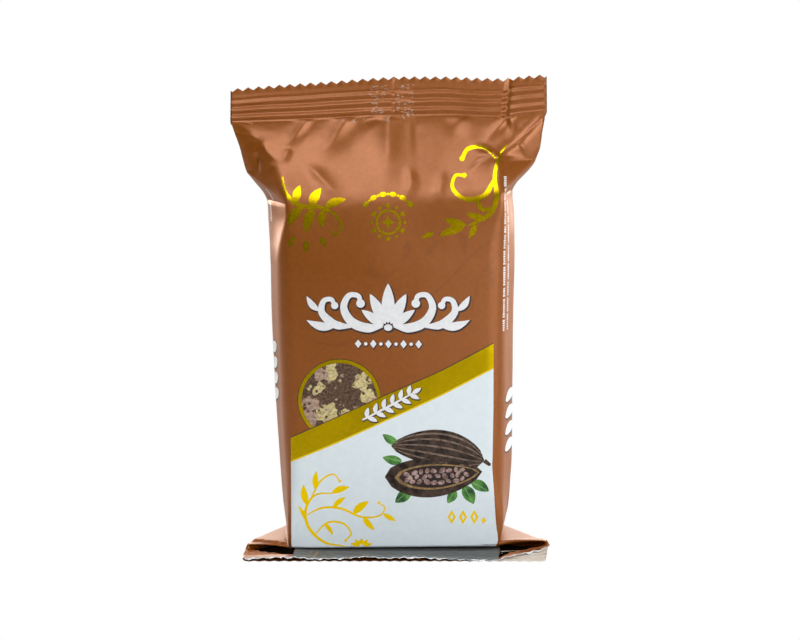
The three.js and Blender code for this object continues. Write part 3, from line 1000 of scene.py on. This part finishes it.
def layCrumb(inside):
    rng = np.random.default_rng(crumb["seed"])
    x, z = field["ringCentre"]
    radius = field["ringRadius"] - field["ringWidth"]
    top = smoothLine(field["bandTop"], 12)
    low = np.interp(inside[:, 0], top[:, 0], top[:, 1]) - 0.1
    cut = [np.stack([inside[:, 0], np.maximum(inside[:, 1], low)], 1)]
    printSeen("crumbBrown", cut, ink["crumbBrown"], lifts["ground"])
    cream, rose, dark = [], [], []
    for index, (right, up, size) in enumerate(crumb["lumpPlaces"]):
        group = rose if index in crumb["roseLumps"] else cream
        group.append(lumpOutline(rng, (x + right, z + up), size))
    for index in range(crumb["flecks"]):
        angle, away = rng.uniform(0, 2 * math.pi), radius * math.sqrt(rng.uniform(0, 0.96))
        place = (x + away * math.cos(angle), z + away * math.sin(angle))
        group = (cream, rose, dark, dark)[index % 4]
        group.append(lumpOutline(rng, place, rng.uniform(0.16, 0.5), 12))
    printSeen("crumbCream", cream, ink["crumbCream"], lifts["lump"], [], cut)
    printSeen("crumbRose", rose, ink["crumbRose"], lifts["rose"], [], cut)
    printSeen("crumbDark", dark, ink["crumbBrown"], lifts["field"], [], cut)


layCrumb(layField())
print("field, band and ring printed")


# White ornament with its dark shade
ornament = {
    "middle": -1.4,
    "foot": 65.2,
    "petals": [(0, 13.2, 3.7), (27, 11.4, 3.2), (54, 9.4, 2.7)],  # lean, length, width
    "scroll": [(1.6, 0.9), (6.0, 0.3), (10.4, 2.0), (12.7, 6.0), (11.3, 9.6), (8.6, 9.6), (7.9, 7.4)],
    "scrollWidths": [0.9, 2.6, 2.8, 2.4, 1.9, 1.5, 1.3],
    "outer": [(10.6, 0.7), (15.2, 1.3), (18.9, 4.6), (18.5, 8.0), (16.3, 8.6), (15.3, 6.8)],
    "outerWidths": [0.8, 2.3, 2.4, 1.9, 1.4, 1.2],
    "leaves": [((15.0, 0.8), (23.4, 2.6), 2.5, -0.9), ((19.6, 5.2), (23.3, 9.6), 1.9, -0.5)],
    "shadeGrow": 0.28,
    "shadeShift": (0.22, -0.28),
    "rowStart": (-10.0, 60.9),
    "rowStep": (2.17, -0.02),
    "rowCount": 9,
    "sprigStem": [(-8.8, 38.6), (-1.0, 42.7), (5.9, 46.6)],
    "sprigPairs": 6,
}


def ornamentShapes(grow=0.0):
    shapes = []
    for lean, length, width in ornament["petals"]:
        turn = math.radians(lean)
        base = (1.6 * math.sin(turn), 1.6 * math.cos(turn))
        tip = (length * math.sin(turn), length * math.cos(turn))
        shapes.append(leaf(base, tip, width, 0, 0.8, grow))
        if lean:
            shapes += mirrored([shapes[-1]], 0)
    half = curl(ornament["scroll"], ornament["scrollWidths"], 1.25, grow)
    half += curl(ornament["outer"], ornament["outerWidths"], 1.05, grow)
    half += [leaf(*place, grow=grow) for place in ornament["leaves"]]
    shapes += half + mirrored(half, 0) + [disc((0, 0.4), 1.2, 0.8, grow=grow)]
    return moved(shapes, ornament["middle"], ornament["foot"])


def layOrnament():
    shade = moved(ornamentShapes(ornament["shadeGrow"]), *ornament["shadeShift"])
    printSeen("ornamentShade", shade, ink["shadeInk"], lifts["shade"])
    printSeen("ornamentWhite", ornamentShapes(), ink["whiteLine"], lifts["figure"])
    row, shadeRow = [], []
    start, step = ornament["rowStart"], ornament["rowStep"]
    for index in range(ornament["rowCount"]):
        place = (start[0] + index * step[0], start[1] + index * step[1])
        for group, grow in ((row, 0.0), (shadeRow, 0.2)):
            group.append(lozenge(place, 1.9, 2.5, grow) if index % 2 == 0 else disc(place, 0.5, grow=grow))
    printSeen("rowShade", moved(shadeRow, 0.12, -0.15), ink["shadeInk"], lifts["shade"])
    printSeen("rowWhite", row, ink["whiteLine"], lifts["figure"])
    sprig, sprigShade = [], []
    stem = ornament["sprigStem"]
    (fromX, fromZ), (toX, toZ) = stem[0], stem[-1]
    for group, grow in ((sprig, 0.0), (sprigShade, 0.22)):
        group.append(stroke(stem, [0.5, 0.7, 0.4], grow))
        for index in range(ornament["sprigPairs"]):
            share = 0.08 + index * 0.165
            x, z = mix(fromX, toX, share), mix(fromZ, toZ, share)
            group.append(leaf((x, z), (x + 0.55, z + 3.0), 1.35, 0.15, 0.8, grow))
            group.append(leaf((x + 0.3, z), (x + 3.1, z - 1.1), 1.35, 0.15, 0.8, grow))
        group.append(leaf((5.6, 46.4), (8.1, 48.0), 1.3, 0, 0.8, grow))
    printSeen("sprigShade", moved(sprigShade, 0.1, -0.2), ink["shadeInk"], lifts["shade"])
    printSeen("sprigWhite", sprig, ink["whiteLine"], lifts["figure"])


layOrnament()


# Stems, curls that end in a bead, and leaves of one sprig
def sprigShapes(sprig):
    shapes = [stroke(*stem) for stem in sprig["stems"]]
    for line in sprig["curls"]:
        shapes += curl(*line)
    return shapes + [leaf(*place) for place in sprig["leaves"]]


# Gold ornaments: a plain rosette under an arc of beads, and a leafy sprig on each side of it
rosette = {
    "centre": (-1.4, 96.0),
    "hole": 3.0,
    "rim": 3.7,
    "beadReach": 4.75,
    "arcReach": 8.3,
}

leftSprig = {
    "stems": [([(-31.4, 109.0), (-30.4, 104.4), (-26.6, 100.8), (-20.8, 100.3), (-16.6, 98.2),
                (-14.6, 94.8), (-16.2, 92.4), (-18.0, 93.6)], [0.5, 0.9, 1.5, 1.3, 1.0, 0.8, 0.6, 0.5])],
    "curls": [],
    "leaves": [((-27.6, 101.8), (-26.4, 106.6), 2.4, 0.3), ((-23.4, 100.4), (-20.4, 105.8), 2.8, 0.4),
               ((-19.4, 100.2), (-13.2, 102.6), 2.4, 0.5), ((-25.8, 100.6), (-30.0, 95.0), 2.6, -0.4),
               ((-22.6, 100.2), (-24.8, 92.8), 2.8, -0.5), ((-19.8, 99.8), (-20.2, 94.4), 2.2, -0.3),
               ((-28.2, 92.0), (-29.8, 88.8), 1.5, 0), ((-24.6, 90.9), (-24.9, 87.2), 1.6, 0),
               ((-20.6, 91.9), (-19.2, 88.8), 1.5, 0)],
}

rightSprig = {
    "stems": [([(32.2, 118.4), (30.0, 114.4), (28.9, 109.0), (29.5, 103.0), (27.2, 98.0), (21.4, 95.0)],
               [0.5, 0.9, 1.2, 1.5, 1.3, 0.5])],
    "curls": [([(29.2, 114.0), (26.0, 117.3), (21.4, 117.0), (19.6, 114.2)], [0.4, 0.9, 1.2, 1.1], 0.75),
              ([(28.8, 108.6), (26.0, 103.6), (20.6, 102.6), (17.0, 105.6), (17.6, 109.2), (20.2, 109.4)],
               [0.6, 1.5, 1.5, 1.2, 1.0, 0.8], 0.7),
              ([(28.4, 100.0), (25.4, 99.6), (24.2, 101.6)], [0.5, 1.3, 1.0], 0.6)],
    "leaves": [((26.2, 97.2), (20.6, 98.6), 1.9, 0.3), ((23.6, 95.8), (21.6, 91.2), 1.7, 0.2),
               ((20.8, 95.0), (14.6, 97.2), 2.5, 0.4), ((20.2, 94.4), (13.0, 92.0), 2.3, -0.3),
               ((11.6, 93.0), (8.0, 91.4), 1.5, 0)],
}


def layGold():
    x, z = rosette["centre"]
    wheel = [disc((x, z), rosette["rim"], count=48)]
    for index in range(12):
        turn = index * math.pi / 6
        place = (x + rosette["beadReach"] * math.cos(turn), z + rosette["beadReach"] * math.sin(turn))
        wheel.append(disc(place, 0.68 if index % 2 else 0.5, count=16))
    hole = disc((x, z), rosette["hole"], count=48)
    printSeen("goldRosette", wheel, ink["goldInk"], lifts["field"], [hole])
    star = [lozenge((x, z), 1.5, 4.6), lozenge((x, z), 4.6, 1.5)]
    printSeen("goldStar", star, ink["goldInk"], lifts["field"])
    arc = []
    for index in range(11):
        turn = math.radians(140 - index * 10)
        place = (x + rosette["arcReach"] * math.cos(turn), z - 0.2 + rosette["arcReach"] * math.sin(turn))
        arc.append(disc(place, 0.42, count=12) if index % 2 else disc(place, 0.75, 1.35, turn, count=16))
    printSeen("goldArc", arc, ink["goldInk"], lifts["field"])
    printSeen("goldSprigLeft", sprigShapes(leftSprig), ink["goldInk"], lifts["field"])
    printSeen("goldSprigRight", sprigShapes(rightSprig), ink["goldInk"], lifts["field"])


layGold()

# Faint tone-on-tone swirls over the brown
faintSwirls = {
    "stems": [],
    "curls": [([(31.0, 93.0), (22.0, 86.0), (12.0, 76.0), (2.0, 74.6), (-2.6, 79.4), (1.6, 82.6)],
               [0.4, 0.8, 0.7, 0.6, 0.5, 0.4], 0.7),
              ([(30.5, 87.0), (25.0, 80.5), (22.6, 71.0)], [0.5, 0.6, 0.4], 0.5),
              ([(-24.0, 62.0), (-16.0, 60.5), (-9.0, 63.5), (-8.0, 69.0), (-12.4, 70.4)],
               [0.4, 0.8, 0.7, 0.5, 0.4], 0.6)],
    "leaves": [((4.6, 91.0), (2.4, 84.6), 2.6, 0.4), ((-8.4, 82.0), (-3.2, 80.2), 3.0, 0.4),
               ((12.6, 91.0), (9.2, 86.2), 1.8, 0.4), ((19.0, 93.0), (20.6, 86.4), 2.4, 0.4),
               ((27.0, 84.0), (28.6, 76.4), 2.2, 0.4)],
}
printSeen("faintSwirls", sprigShapes(faintSwirls), ink["swirlBrown"], lifts["ground"])

# Yellow ornaments on the white field
yellowSprig = {
    "stems": [([(-14.0, 1.2), (-20.0, 2.4), (-24.4, 6.6), (-25.4, 12.0), (-22.6, 16.4), (-17.4, 17.0)],
               [0.35, 0.7, 0.9, 0.8, 0.6, 0.35])],
    "curls": [([(-22.9, 4.6), (-19.0, 8.2), (-14.6, 8.0), (-12.2, 5.2), (-13.8, 2.9)],
               [0.3, 0.55, 0.6, 0.5, 0.4], 0.42),
              ([(-25.3, 10.4), (-20.6, 12.6), (-15.0, 12.4), (-9.4, 10.0), (-4.2, 10.2), (-2.4, 12.6),
                (-4.2, 14.2)], [0.3, 0.6, 0.7, 0.6, 0.55, 0.45, 0.35], 0.4),
              ([(-24.0, 15.0), (-21.0, 20.6), (-17.4, 22.6), (-15.4, 20.6)], [0.3, 0.6, 0.5, 0.4], 0.42)],
    "leaves": [((-25.1, 8.4), (-27.6, 13.2), 1.2, -0.3), ((-24.9, 13.4), (-26.0, 19.6), 2.0, 0.3),
               ((-22.4, 18.0), (-22.2, 23.6), 1.7, 0.2), ((-17.8, 17.0), (-12.6, 18.8), 1.9, 0.3),
               ((-17.4, 12.7), (-13.8, 15.9), 1.5, 0.2), ((-11.6, 10.8), (-7.0, 14.6), 2.2, 0.3),
               ((-8.6, 9.9), (-5.4, 6.0), 1.7, -0.2), ((-3.0, 10.8), (0.8, 8.6), 1.4, 0.1),
               ((-19.8, 8.1), (-17.4, 4.4), 1.2, 0.1)],
    "blossom": (-9.2, 1.3),
}


def layYellow():
    shapes = sprigShapes(yellowSprig)
    x, z = yellowSprig["blossom"]
    for lean in (-72, -36, 0, 36, 72):
        turn = math.radians(lean)
        base = (x + 0.5 * math.sin(turn), z + 0.4 * math.cos(turn))
        shapes.append(leaf(base, (x + 3.4 * math.sin(turn), z + 2.3 * math.cos(turn)), 1.1))
    printSeen("yellowSprig", shapes, ink["yellowInk"], lifts["field"])
    lowest = tube["heights"][0]
    strokes = [stroke([(place - 0.9, lowest + 0.6), (place, lowest + 10)], [0.55])
               for place in (-25.2, -23.2)]
    printFlat("sealStrokes", strokes, ink["rimTan"], lifts["field"])
    marks = [lozenge((x, 9.9), 2.4, 4.3) for x in (17.0, 20.3, 23.6)] + [lozenge((26.3, 8.9), 1.4, 2.2)]
    holes = [lozenge((x, 9.9), 0.9, 1.9) for x in (17.0, 20.3, 23.6)]
    printSeen("yellowMarks", marks, ink["yellowInk"], lifts["field"], holes)


layYellow()

# Cocoa pods on the white field
pods = {
    "whole": {"base": (26.4, 26.6), "tip": (-0.6, 31.0), "width": 11.0, "bend": -1.5},
    "cut": {"base": (-2.4, 21.8), "tip": (25.8, 23.4), "width": 11.6, "bend": -1.0},
    "rim": ((0.4, 21.6), (25.0, 23.2), 7.5, -0.5, 0.62),
    "hollow": ((1.6, 21.7), (24.3, 23.2), 6.5, -0.5, 0.62),
    "leaves": [((2.6, 26.4), (-3.0, 27.6), 2.8), ((1.4, 31.6), (-3.0, 34.4), 2.4),
               ((5.0, 18.2), (0.6, 14.2), 3.4), ((22.6, 20.4), (27.8, 17.6), 3.2),
               ((20.4, 19.2), (23.4, 13.8), 3.6), ((18.0, 18.2), (15.8, 14.0), 2.8)],
    "beanRows": 3,
    "beansPerRow": 9,
    "seed": 5,
}


def layPods():
    rng = np.random.default_rng(pods["seed"])
    leaves, veins = [], []
    for base, tip, width in pods["leaves"]:
        leaves.append(leaf(base, tip, width, 0.2, 0.8))
        veins.append(stroke([base, mix(np.array(base), np.array(tip), 0.9)], [0.28, 0.12]))
    printSeen("podLeaves", leaves, ink["leafGreen"], lifts["field"])
    printSeen("podVeins", veins, ink["veinGreen"], lifts["shade"])
    whole, cut = pods["whole"], pods["cut"]
    body = [leaf(whole["base"], whole["tip"], whole["width"], whole["bend"], 0.62),
            stroke([whole["base"], (27.9, 25.4)], [1.3, 1.0])]
    printSeen("podWhole", body, ink["podBrown"], lifts["shade"])
    base, tip = np.array(whole["base"]), np.array(whole["tip"])
    run = (tip - base) / np.linalg.norm(tip - base)
    aside = np.array([-run[1], run[0]])
    ridges = []
    for spread in (-4.3, -2.5, -0.4, 1.9, 3.9):
        line = [base + (tip - base) * share + aside * (spread * math.sin(math.pi * share ** 0.85) ** 0.62
                                                       + whole["bend"] * 4 * share * (1 - share))
                for share in np.linspace(0.03, 0.97, 9)]
        ridges.append(stroke(line, [0.2, 0.5, 0.55, 0.45, 0.2]))
    printSeen("podRidges", ridges, ink["podRidge"], lifts["figure"])
    shell = leaf(cut["base"], cut["tip"], cut["width"], cut["bend"], 0.6)
    hollow = leaf(*pods["hollow"])
    printSeen("podCut", [shell], ink["podBrown"], lifts["figure"])
    printSeen("podRim", [leaf(*pods["rim"])], ink["rimTan"], lifts["detail"], [hollow])
    printSeen("podHollow", [hollow], ink["podHollow"], lifts["detail"])
    (left, leftUp), (right, rightUp) = pods["hollow"][:2]
    beans = []
    for row in range(pods["beanRows"]):
        for index in range(pods["beansPerRow"]):
            share = 0.1 + 0.8 * (index + 0.5 * (row % 2)) / pods["beansPerRow"]
            x = mix(left, right, share)
            spread = (row - 1) * 1.75 * math.sin(math.pi * share) ** 0.6
            z = mix(leftUp, rightUp, share) - 0.5 * 4 * share * (1 - share) + spread
            place = (x + rng.uniform(-0.3, 0.3), z + rng.uniform(-0.2, 0.2))
            beans.append(disc(place, rng.uniform(0.75, 1.1), 0.68, rng.uniform(0, 3.1), count=14))
    printSeen("podBeans", beans, ink["beanTan"], lifts["topmost"])


layPods()
print("front printed")


# Plain marks on the sides and the back
sideMarks = {
    "seed": 9,
    "columns": [(33.7, 63.8, 104.5), (36.6, 63.8, 98.0), (-40.4, 96.0, 103.0)],  # place, lowest, highest
    "tickWidth": 1.15,
    "tickLength": 0.42,
    "tickStep": 0.64,
    "leafRight": {"place": 35.2, "to": 44.4, "from": 29.0, "count": 4, "step": 4.9},
    "leafLeft": {"place": -37.6, "to": -45.0, "from": 46.0, "count": 4, "step": 4.6},
    "backRows": {"from": 59.0, "to": 83.0, "low": 24.0, "high": 92.0, "step": 2.7},
    "backSprig": {"place": -72, "from": 34, "step": 5.6, "pairs": 7},
}


def tick(place, height, across, along):
    w, h = across / 2, along / 2
    return np.array([(place - w, height - h), (place + w, height - h), (place + w, height + h),
                     (place - w, height + h)])


def layMarks():
    rng = np.random.default_rng(sideMarks["seed"])
    columns = []
    for place, low, high in sideMarks["columns"]:
        height = low
        while height < high:
            for _ in range(rng.integers(3, 9)):
                width = sideMarks["tickWidth"] * rng.uniform(0.65, 1.0)
                columns.append(tick(place, height, width, sideMarks["tickLength"]))
                height += sideMarks["tickStep"]
            height += 0.5
    printFlat("sideTicks", columns, ink["whiteLine"], lifts["field"])
    leaves, shade = [], []
    for spot in (sideMarks["leafRight"], sideMarks["leafLeft"]):
        lean = 1.6 if spot["place"] > 0 else -1.4
        for index in range(spot["count"]):
            height = spot["from"] + index * spot["step"]
            for group, grow in ((leaves, 0.0), (shade, 0.3)):
                group.append(leaf((spot["place"], height), (spot["to"], height + lean), 3.4, 0.5, 0.7, grow))
    printFlat("sideLeafShade", moved(shade, 0.0, -0.3), ink["shadeInk"], lifts["field"])
    printFlat("sideLeaves", leaves, ink["whiteLine"], lifts["figure"])
    rows, spot = [], sideMarks["backRows"]
    for height in np.arange(spot["low"], spot["high"], spot["step"]):
        place = spot["from"]
        last = spot["to"] - rng.uniform(0, 6)
        while place < last:
            for _ in range(rng.integers(3, 9)):
                rows.append(tick(place, height, sideMarks["tickLength"],
                                 sideMarks["tickWidth"] * rng.uniform(0.65, 1.0)))
                place += sideMarks["tickStep"]
            place += 0.6
    printFlat("backTicks", rows, ink["whiteLine"], lifts["field"])
    sprig, spot = [], sideMarks["backSprig"]
    middle = spot["place"]
    for index in range(spot["pairs"]):
        height = spot["from"] + index * spot["step"]
        for side in (1, -1):
            sprig.append(leaf((middle, height), (middle + side * 5.5, height + 4.2), 2.4, side * 0.3))
    sprig += [stroke([(middle, 29), (middle, 50), (middle, 72)], [0.5, 0.9, 0.4]),
              leaf((middle, 71), (middle, 77), 2.4)]
    printFlat("backSprig", sprig, ink["goldInk"], lifts["field"])


layMarks()

seam = {
    "from": 0.6,
    "to": -7.5,
    "low": 4.0,
    "thick": 0.34,
    "ribs": 0.05,
    "ribPitch": 1.1,
    "sway": 0.06,
    "seed": 31,
}


# The lengthwise seam stands as a flap folded over to one side of the back's middle
def buildSeam():
    half = film["flatHalf"]
    xs = np.array([seam["from"] + 0.05, *np.linspace(seam["from"], seam["to"], 33), seam["to"] - 0.05])
    rise = seam["thick"] + seam["ribs"] * np.cos(2 * math.pi * xs / seam["ribPitch"])
    rise[0], rise[-1] = -0.02, -0.02
    heights = tube["heights"][tube["heights"] > seam["low"]]
    rng = np.random.default_rng(seam["seed"])
    sway = np.convolve(rng.normal(size=len(heights) + 40), np.hanning(41), "valid")[:len(heights)]
    points = []
    for height, shift in zip(heights, sway * seam["sway"]):
        across = xs + shift * smooth(-1, -7, xs)
        place = np.copysign(2 * half - np.abs(across), across)
        base, normals = onFilm(place, np.full(len(xs), height))
        points.append(base + normals * rise[:, None])
    points = np.array(points)
    count = len(xs)
    faces = [(row * count + column, row * count + column + 1, (row + 1) * count + column + 1,
              (row + 1) * count + column) for row in range(len(heights) - 1) for column in range(count - 1)]
    piece = makeMesh("backSeam", points.reshape(-1, 3), faces, brownFilm)
    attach(piece, "root")


buildSeam()


# Worn specks on the top seal, where its ridges are pressed over the seam
scuffs = {
    "seed": 14,
    "count": 70,
    "zones": [(-5.4, -0.3), (2.2, 7.4)],
    "lowest": 0.4,
    "highest": 9.0,
    "crumples": [(-0.4, -0.6, 1.2), (5.2, 0.9, 3.2), (-11.0, -0.6, 5.0)],  # place, height, spread
}


def layScuffs():
    rng = np.random.default_rng(scuffs["seed"])
    sealFoot = tube["heights"][tube["parts"] == "shoulder"].max()
    marks = []
    for start, end in scuffs["zones"]:
        for _ in range(scuffs["count"]):
            ridge = film["crimpFirst"] + film["crimpPitch"] * rng.integers(0, 4) + rng.normal() * 0.55
            height = sealFoot + np.clip(ridge, scuffs["lowest"], scuffs["highest"])
            place = (rng.uniform(start, end), height)
            marks.append(disc(place, rng.uniform(0.12, 0.5), rng.uniform(0.18, 0.45),
                              rng.normal() * 0.3, count=7))
    for place, up, length in scuffs["crumples"]:
        for _ in range(7):
            spot = (place + rng.normal() * length / 3, sealFoot + up + rng.normal() * 0.35)
            tip = (spot[0] + rng.uniform(0.5, 1.3), spot[1] + rng.normal() * 0.5)
            marks.append(leaf(spot, tip, rng.uniform(0.15, 0.4)))
    printFlat("sealScuffs", marks, ink["scuffPale"], lifts["ground"])


layScuffs()


# The cut edge of the bottom seal: the film's pale inner side and a torn white rim
cutEdge = {
    "seed": 17,
    "innerStart": 0.4,
    "innerEnd": 27.5,  # how near the middle the pale inner side runs
    "rimDrop": (0.1, 0.45),
}


def layCutEdge():
    lowest, seal = tube["heights"][0], tube["heights"][tube["parts"] == "bottomSeal"].max()
    start, end = film["flatHalf"] + cutEdge["innerStart"], 2 * film["flatHalf"] - cutEdge["innerEnd"]
    inner = np.array([(start, lowest), (end, lowest), (end, seal), (start, seal)])
    printFlat("innerFilm", [inner], ink["innerPale"], -lifts["ground"])
    rng = np.random.default_rng(cutEdge["seed"])
    places = np.arange(-45.0, 45.1, 0.5)
    least, sway = cutEdge["rimDrop"]
    drop = least + sway * np.abs(np.convolve(rng.normal(size=len(places) + 4), np.ones(5) / 5, "valid"))
    top, _ = onFilm(places, np.full(len(places), lowest), 0.02)
    low = top - drop[:, None] * (0, 0.4, 1)
    count = len(places)
    faces = [(index, count + index, count + index + 1, index + 1) for index in range(count - 1)]
    piece = makeMesh("cutRim", np.vstack([top, low]), faces, ink["whiteLine"])
    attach(piece, "root")


layCutEdge()
print("sides, back and seals printed")


# Floor and camera
studio = {
    "viewFrom": (3.3, -744.2, 187.0),
    "viewAt": (3.3, 5.8, 65.7),
    "focalPixels": 2605,
    "frameWidth": 800,
    "floorSize": 3.0,
    # Painted shade: for light and reflections the floor's colour darkens towards the viewer, standing in for
    # light falling off
    "floorPaintedFall": (-0.6, -0.12),  # the sheet dims towards the viewer
    "floorPaintedDark": (0.12, 0.12, 0.12, 1),
    "floorPaintedLight": (0.55, 0.55, 0.55, 1),
}

# Brightness round the object: behind, in front, to the left, to the right and overhead
surround = {"behind": 3.6, "sideBackLeft": 9.0, "sideBackRight": 12.0, "frontLeft": 0.02, "frontRight": 0.4,
            "left": 0.15, "right": 0.6, "above": 0.15, "tint": (1.0, 0.95, 0.86, 1)}

# Place, aim, width and height, and power of each softbox
softboxes = {
    "frontSoftbox": ((0.52, -0.72, 0.36), (0, 0, 0.05), (0.7, 0.3), 2.4),
    "rightSoftbox": ((0.46, -0.50, 0.09), (0, 0, 0.06), (0.7, 0.5), 1.9),
    "slantSoftbox": ((-0.105, -0.30, 0.55), (0, 0, 0.12), (0.28, 0.26), 1.0),
    "topSoftbox": ((-0.10, 0.17, 0.56), (0, 0, 0.1), (0.5, 0.3), 1.6),
}


def addFloor():
    half = studio["floorSize"] / 2
    mesh = bpy.data.meshes.new("floor")
    under = -0.0002  # just below the pack's foot
    corners = [(-half, -half, under), (half, -half, under), (half, half, under), (-half, half, under)]
    mesh.from_pydata(corners, [], [(0, 1, 2, 3)])
    floor = bpy.data.objects.new("floor", mesh)
    bpy.context.scene.collection.objects.link(floor)
    material, nodes, links, shader = nodeMaterial("floorWhiteAndPaintedFall")
    where = nodes.new("ShaderNodeTexCoord")
    parts = nodes.new("ShaderNodeSeparateXYZ")
    links.new(where.outputs["Object"], parts.inputs["Vector"])
    fall = nodes.new("ShaderNodeMapRange")
    fall.interpolation_type = "SMOOTHERSTEP"
    fall.inputs["From Min"].default_value, fall.inputs["From Max"].default_value = studio["floorPaintedFall"]
    links.new(parts.outputs["Y"], fall.inputs["Value"])
    # Painted shade: the floor's colour falls from light near the pack to dark towards the viewer
    tone = nodes.new("ShaderNodeMix")
    tone.data_type = "RGBA"
    tone.inputs["A"].default_value = studio["floorPaintedDark"]
    tone.inputs["B"].default_value = studio["floorPaintedLight"]
    links.new(fall.outputs["Result"], tone.inputs["Factor"])
    links.new(tone.outputs["Result"], shader.inputs["Base Color"])
    shader.inputs["Roughness"].default_value = 0.8
    shader.inputs["Specular IOR Level"].default_value = 0.1
    paper = nodes.new("ShaderNodeEmission")  # white paper, as bright as the sweep behind it
    seen = nodes.new("ShaderNodeLightPath")
    choose = nodes.new("ShaderNodeMixShader")
    links.new(seen.outputs["Is Camera Ray"], choose.inputs["Fac"])
    links.new(shader.outputs["BSDF"], choose.inputs[1])
    links.new(paper.outputs["Emission"], choose.inputs[2])
    links.new(choose.outputs["Shader"], nodes["Material Output"].inputs["Surface"])
    mesh.materials.append(material)


def addLight(name, place, target, size, power):
    data = bpy.data.lights.new(name, "AREA")
    data.shape = "RECTANGLE"
    data.size, data.size_y = size
    data.energy = power
    light = bpy.data.objects.new(name, data)
    bpy.context.scene.collection.objects.link(light)
    light.location = place
    light.rotation_euler = (Vector(target) - Vector(place)).to_track_quat("-Z", "Y").to_euler()


def addWorld():
    world = bpy.data.worlds.new("studio")
    bpy.context.scene.world = world
    world.use_nodes = True
    nodes, links = world.node_tree.nodes, world.node_tree.links
    paper = nodes["Background"]
    paper.inputs["Color"].default_value = (1, 1, 1, 1)
    where = nodes.new("ShaderNodeTexCoord")
    parts = nodes.new("ShaderNodeSeparateXYZ")
    links.new(where.outputs["Generated"], parts.inputs["Vector"])

    def ramp(source, fromLow, fromHigh, low, high):
        node = nodes.new("ShaderNodeMapRange")
        node.interpolation_type = "SMOOTHSTEP"
        for name, value in (("From Min", fromLow), ("From Max", fromHigh), ("To Min", low), ("To Max", high)):
            node.inputs[name].default_value = value
        links.new(source, node.inputs["Value"])
        return node.outputs["Result"]

    def blend(share, low, high):
        node = nodes.new("ShaderNodeMix")
        links.new(share, node.inputs["Factor"])
        for name, value in (("A", low), ("B", high)):
            if isinstance(value, float):
                node.inputs[name].default_value = value
            else:
                links.new(value, node.inputs[name])
        return node.outputs["Result"]

    sideways = ramp(parts.outputs["X"], -0.5, 0.5, surround["left"], surround["right"])
    rim = ramp(parts.outputs["X"], -0.5, 0.5, surround["sideBackLeft"], surround["sideBackRight"])
    toRim = blend(ramp(parts.outputs["Y"], 0.3, 0.62, 0.0, 1.0), sideways, rim)
    toBack = blend(ramp(parts.outputs["Y"], 0.7, 0.92, 0.0, 1.0), toRim, surround["behind"])
    front = ramp(parts.outputs["X"], -0.35, 0.45, surround["frontLeft"], surround["frontRight"])
    toFront = blend(ramp(parts.outputs["Y"], -0.8, -0.3, 1.0, 0.0), toBack, front)
    light = blend(ramp(parts.outputs["Z"], 0.2, 0.6, 0.0, 1.0), toFront, surround["above"])
    lit = nodes.new("ShaderNodeBackground")
    lit.inputs["Color"].default_value = surround["tint"]
    links.new(light, lit.inputs["Strength"])
    seen = nodes.new("ShaderNodeLightPath")
    choose = nodes.new("ShaderNodeMixShader")
    links.new(seen.outputs["Is Camera Ray"], choose.inputs["Fac"])
    links.new(lit.outputs["Background"], choose.inputs[1])
    links.new(paper.outputs["Background"], choose.inputs[2])
    links.new(choose.outputs["Shader"], nodes["World Output"].inputs["Surface"])


def addCamera():
    data = bpy.data.cameras.new("camera")
    data.sensor_width = 36
    data.lens = studio["focalPixels"] / studio["frameWidth"] * data.sensor_width
    data.clip_start = 0.01
    camera = bpy.data.objects.new("camera", data)
    bpy.context.scene.collection.objects.link(camera)
    place = Vector(studio["viewFrom"]) * metres
    target = Vector(studio["viewAt"]) * metres
    camera.location = place
    camera.rotation_euler = (target - place).to_track_quat("-Z", "Y").to_euler()
    bpy.context.scene.camera = camera


addFloor()
addWorld()
for name in softboxes:
    addLight(name, *softboxes[name])
addCamera()
bpy.context.scene.view_settings.view_transform = "Standard"
print("studio set")
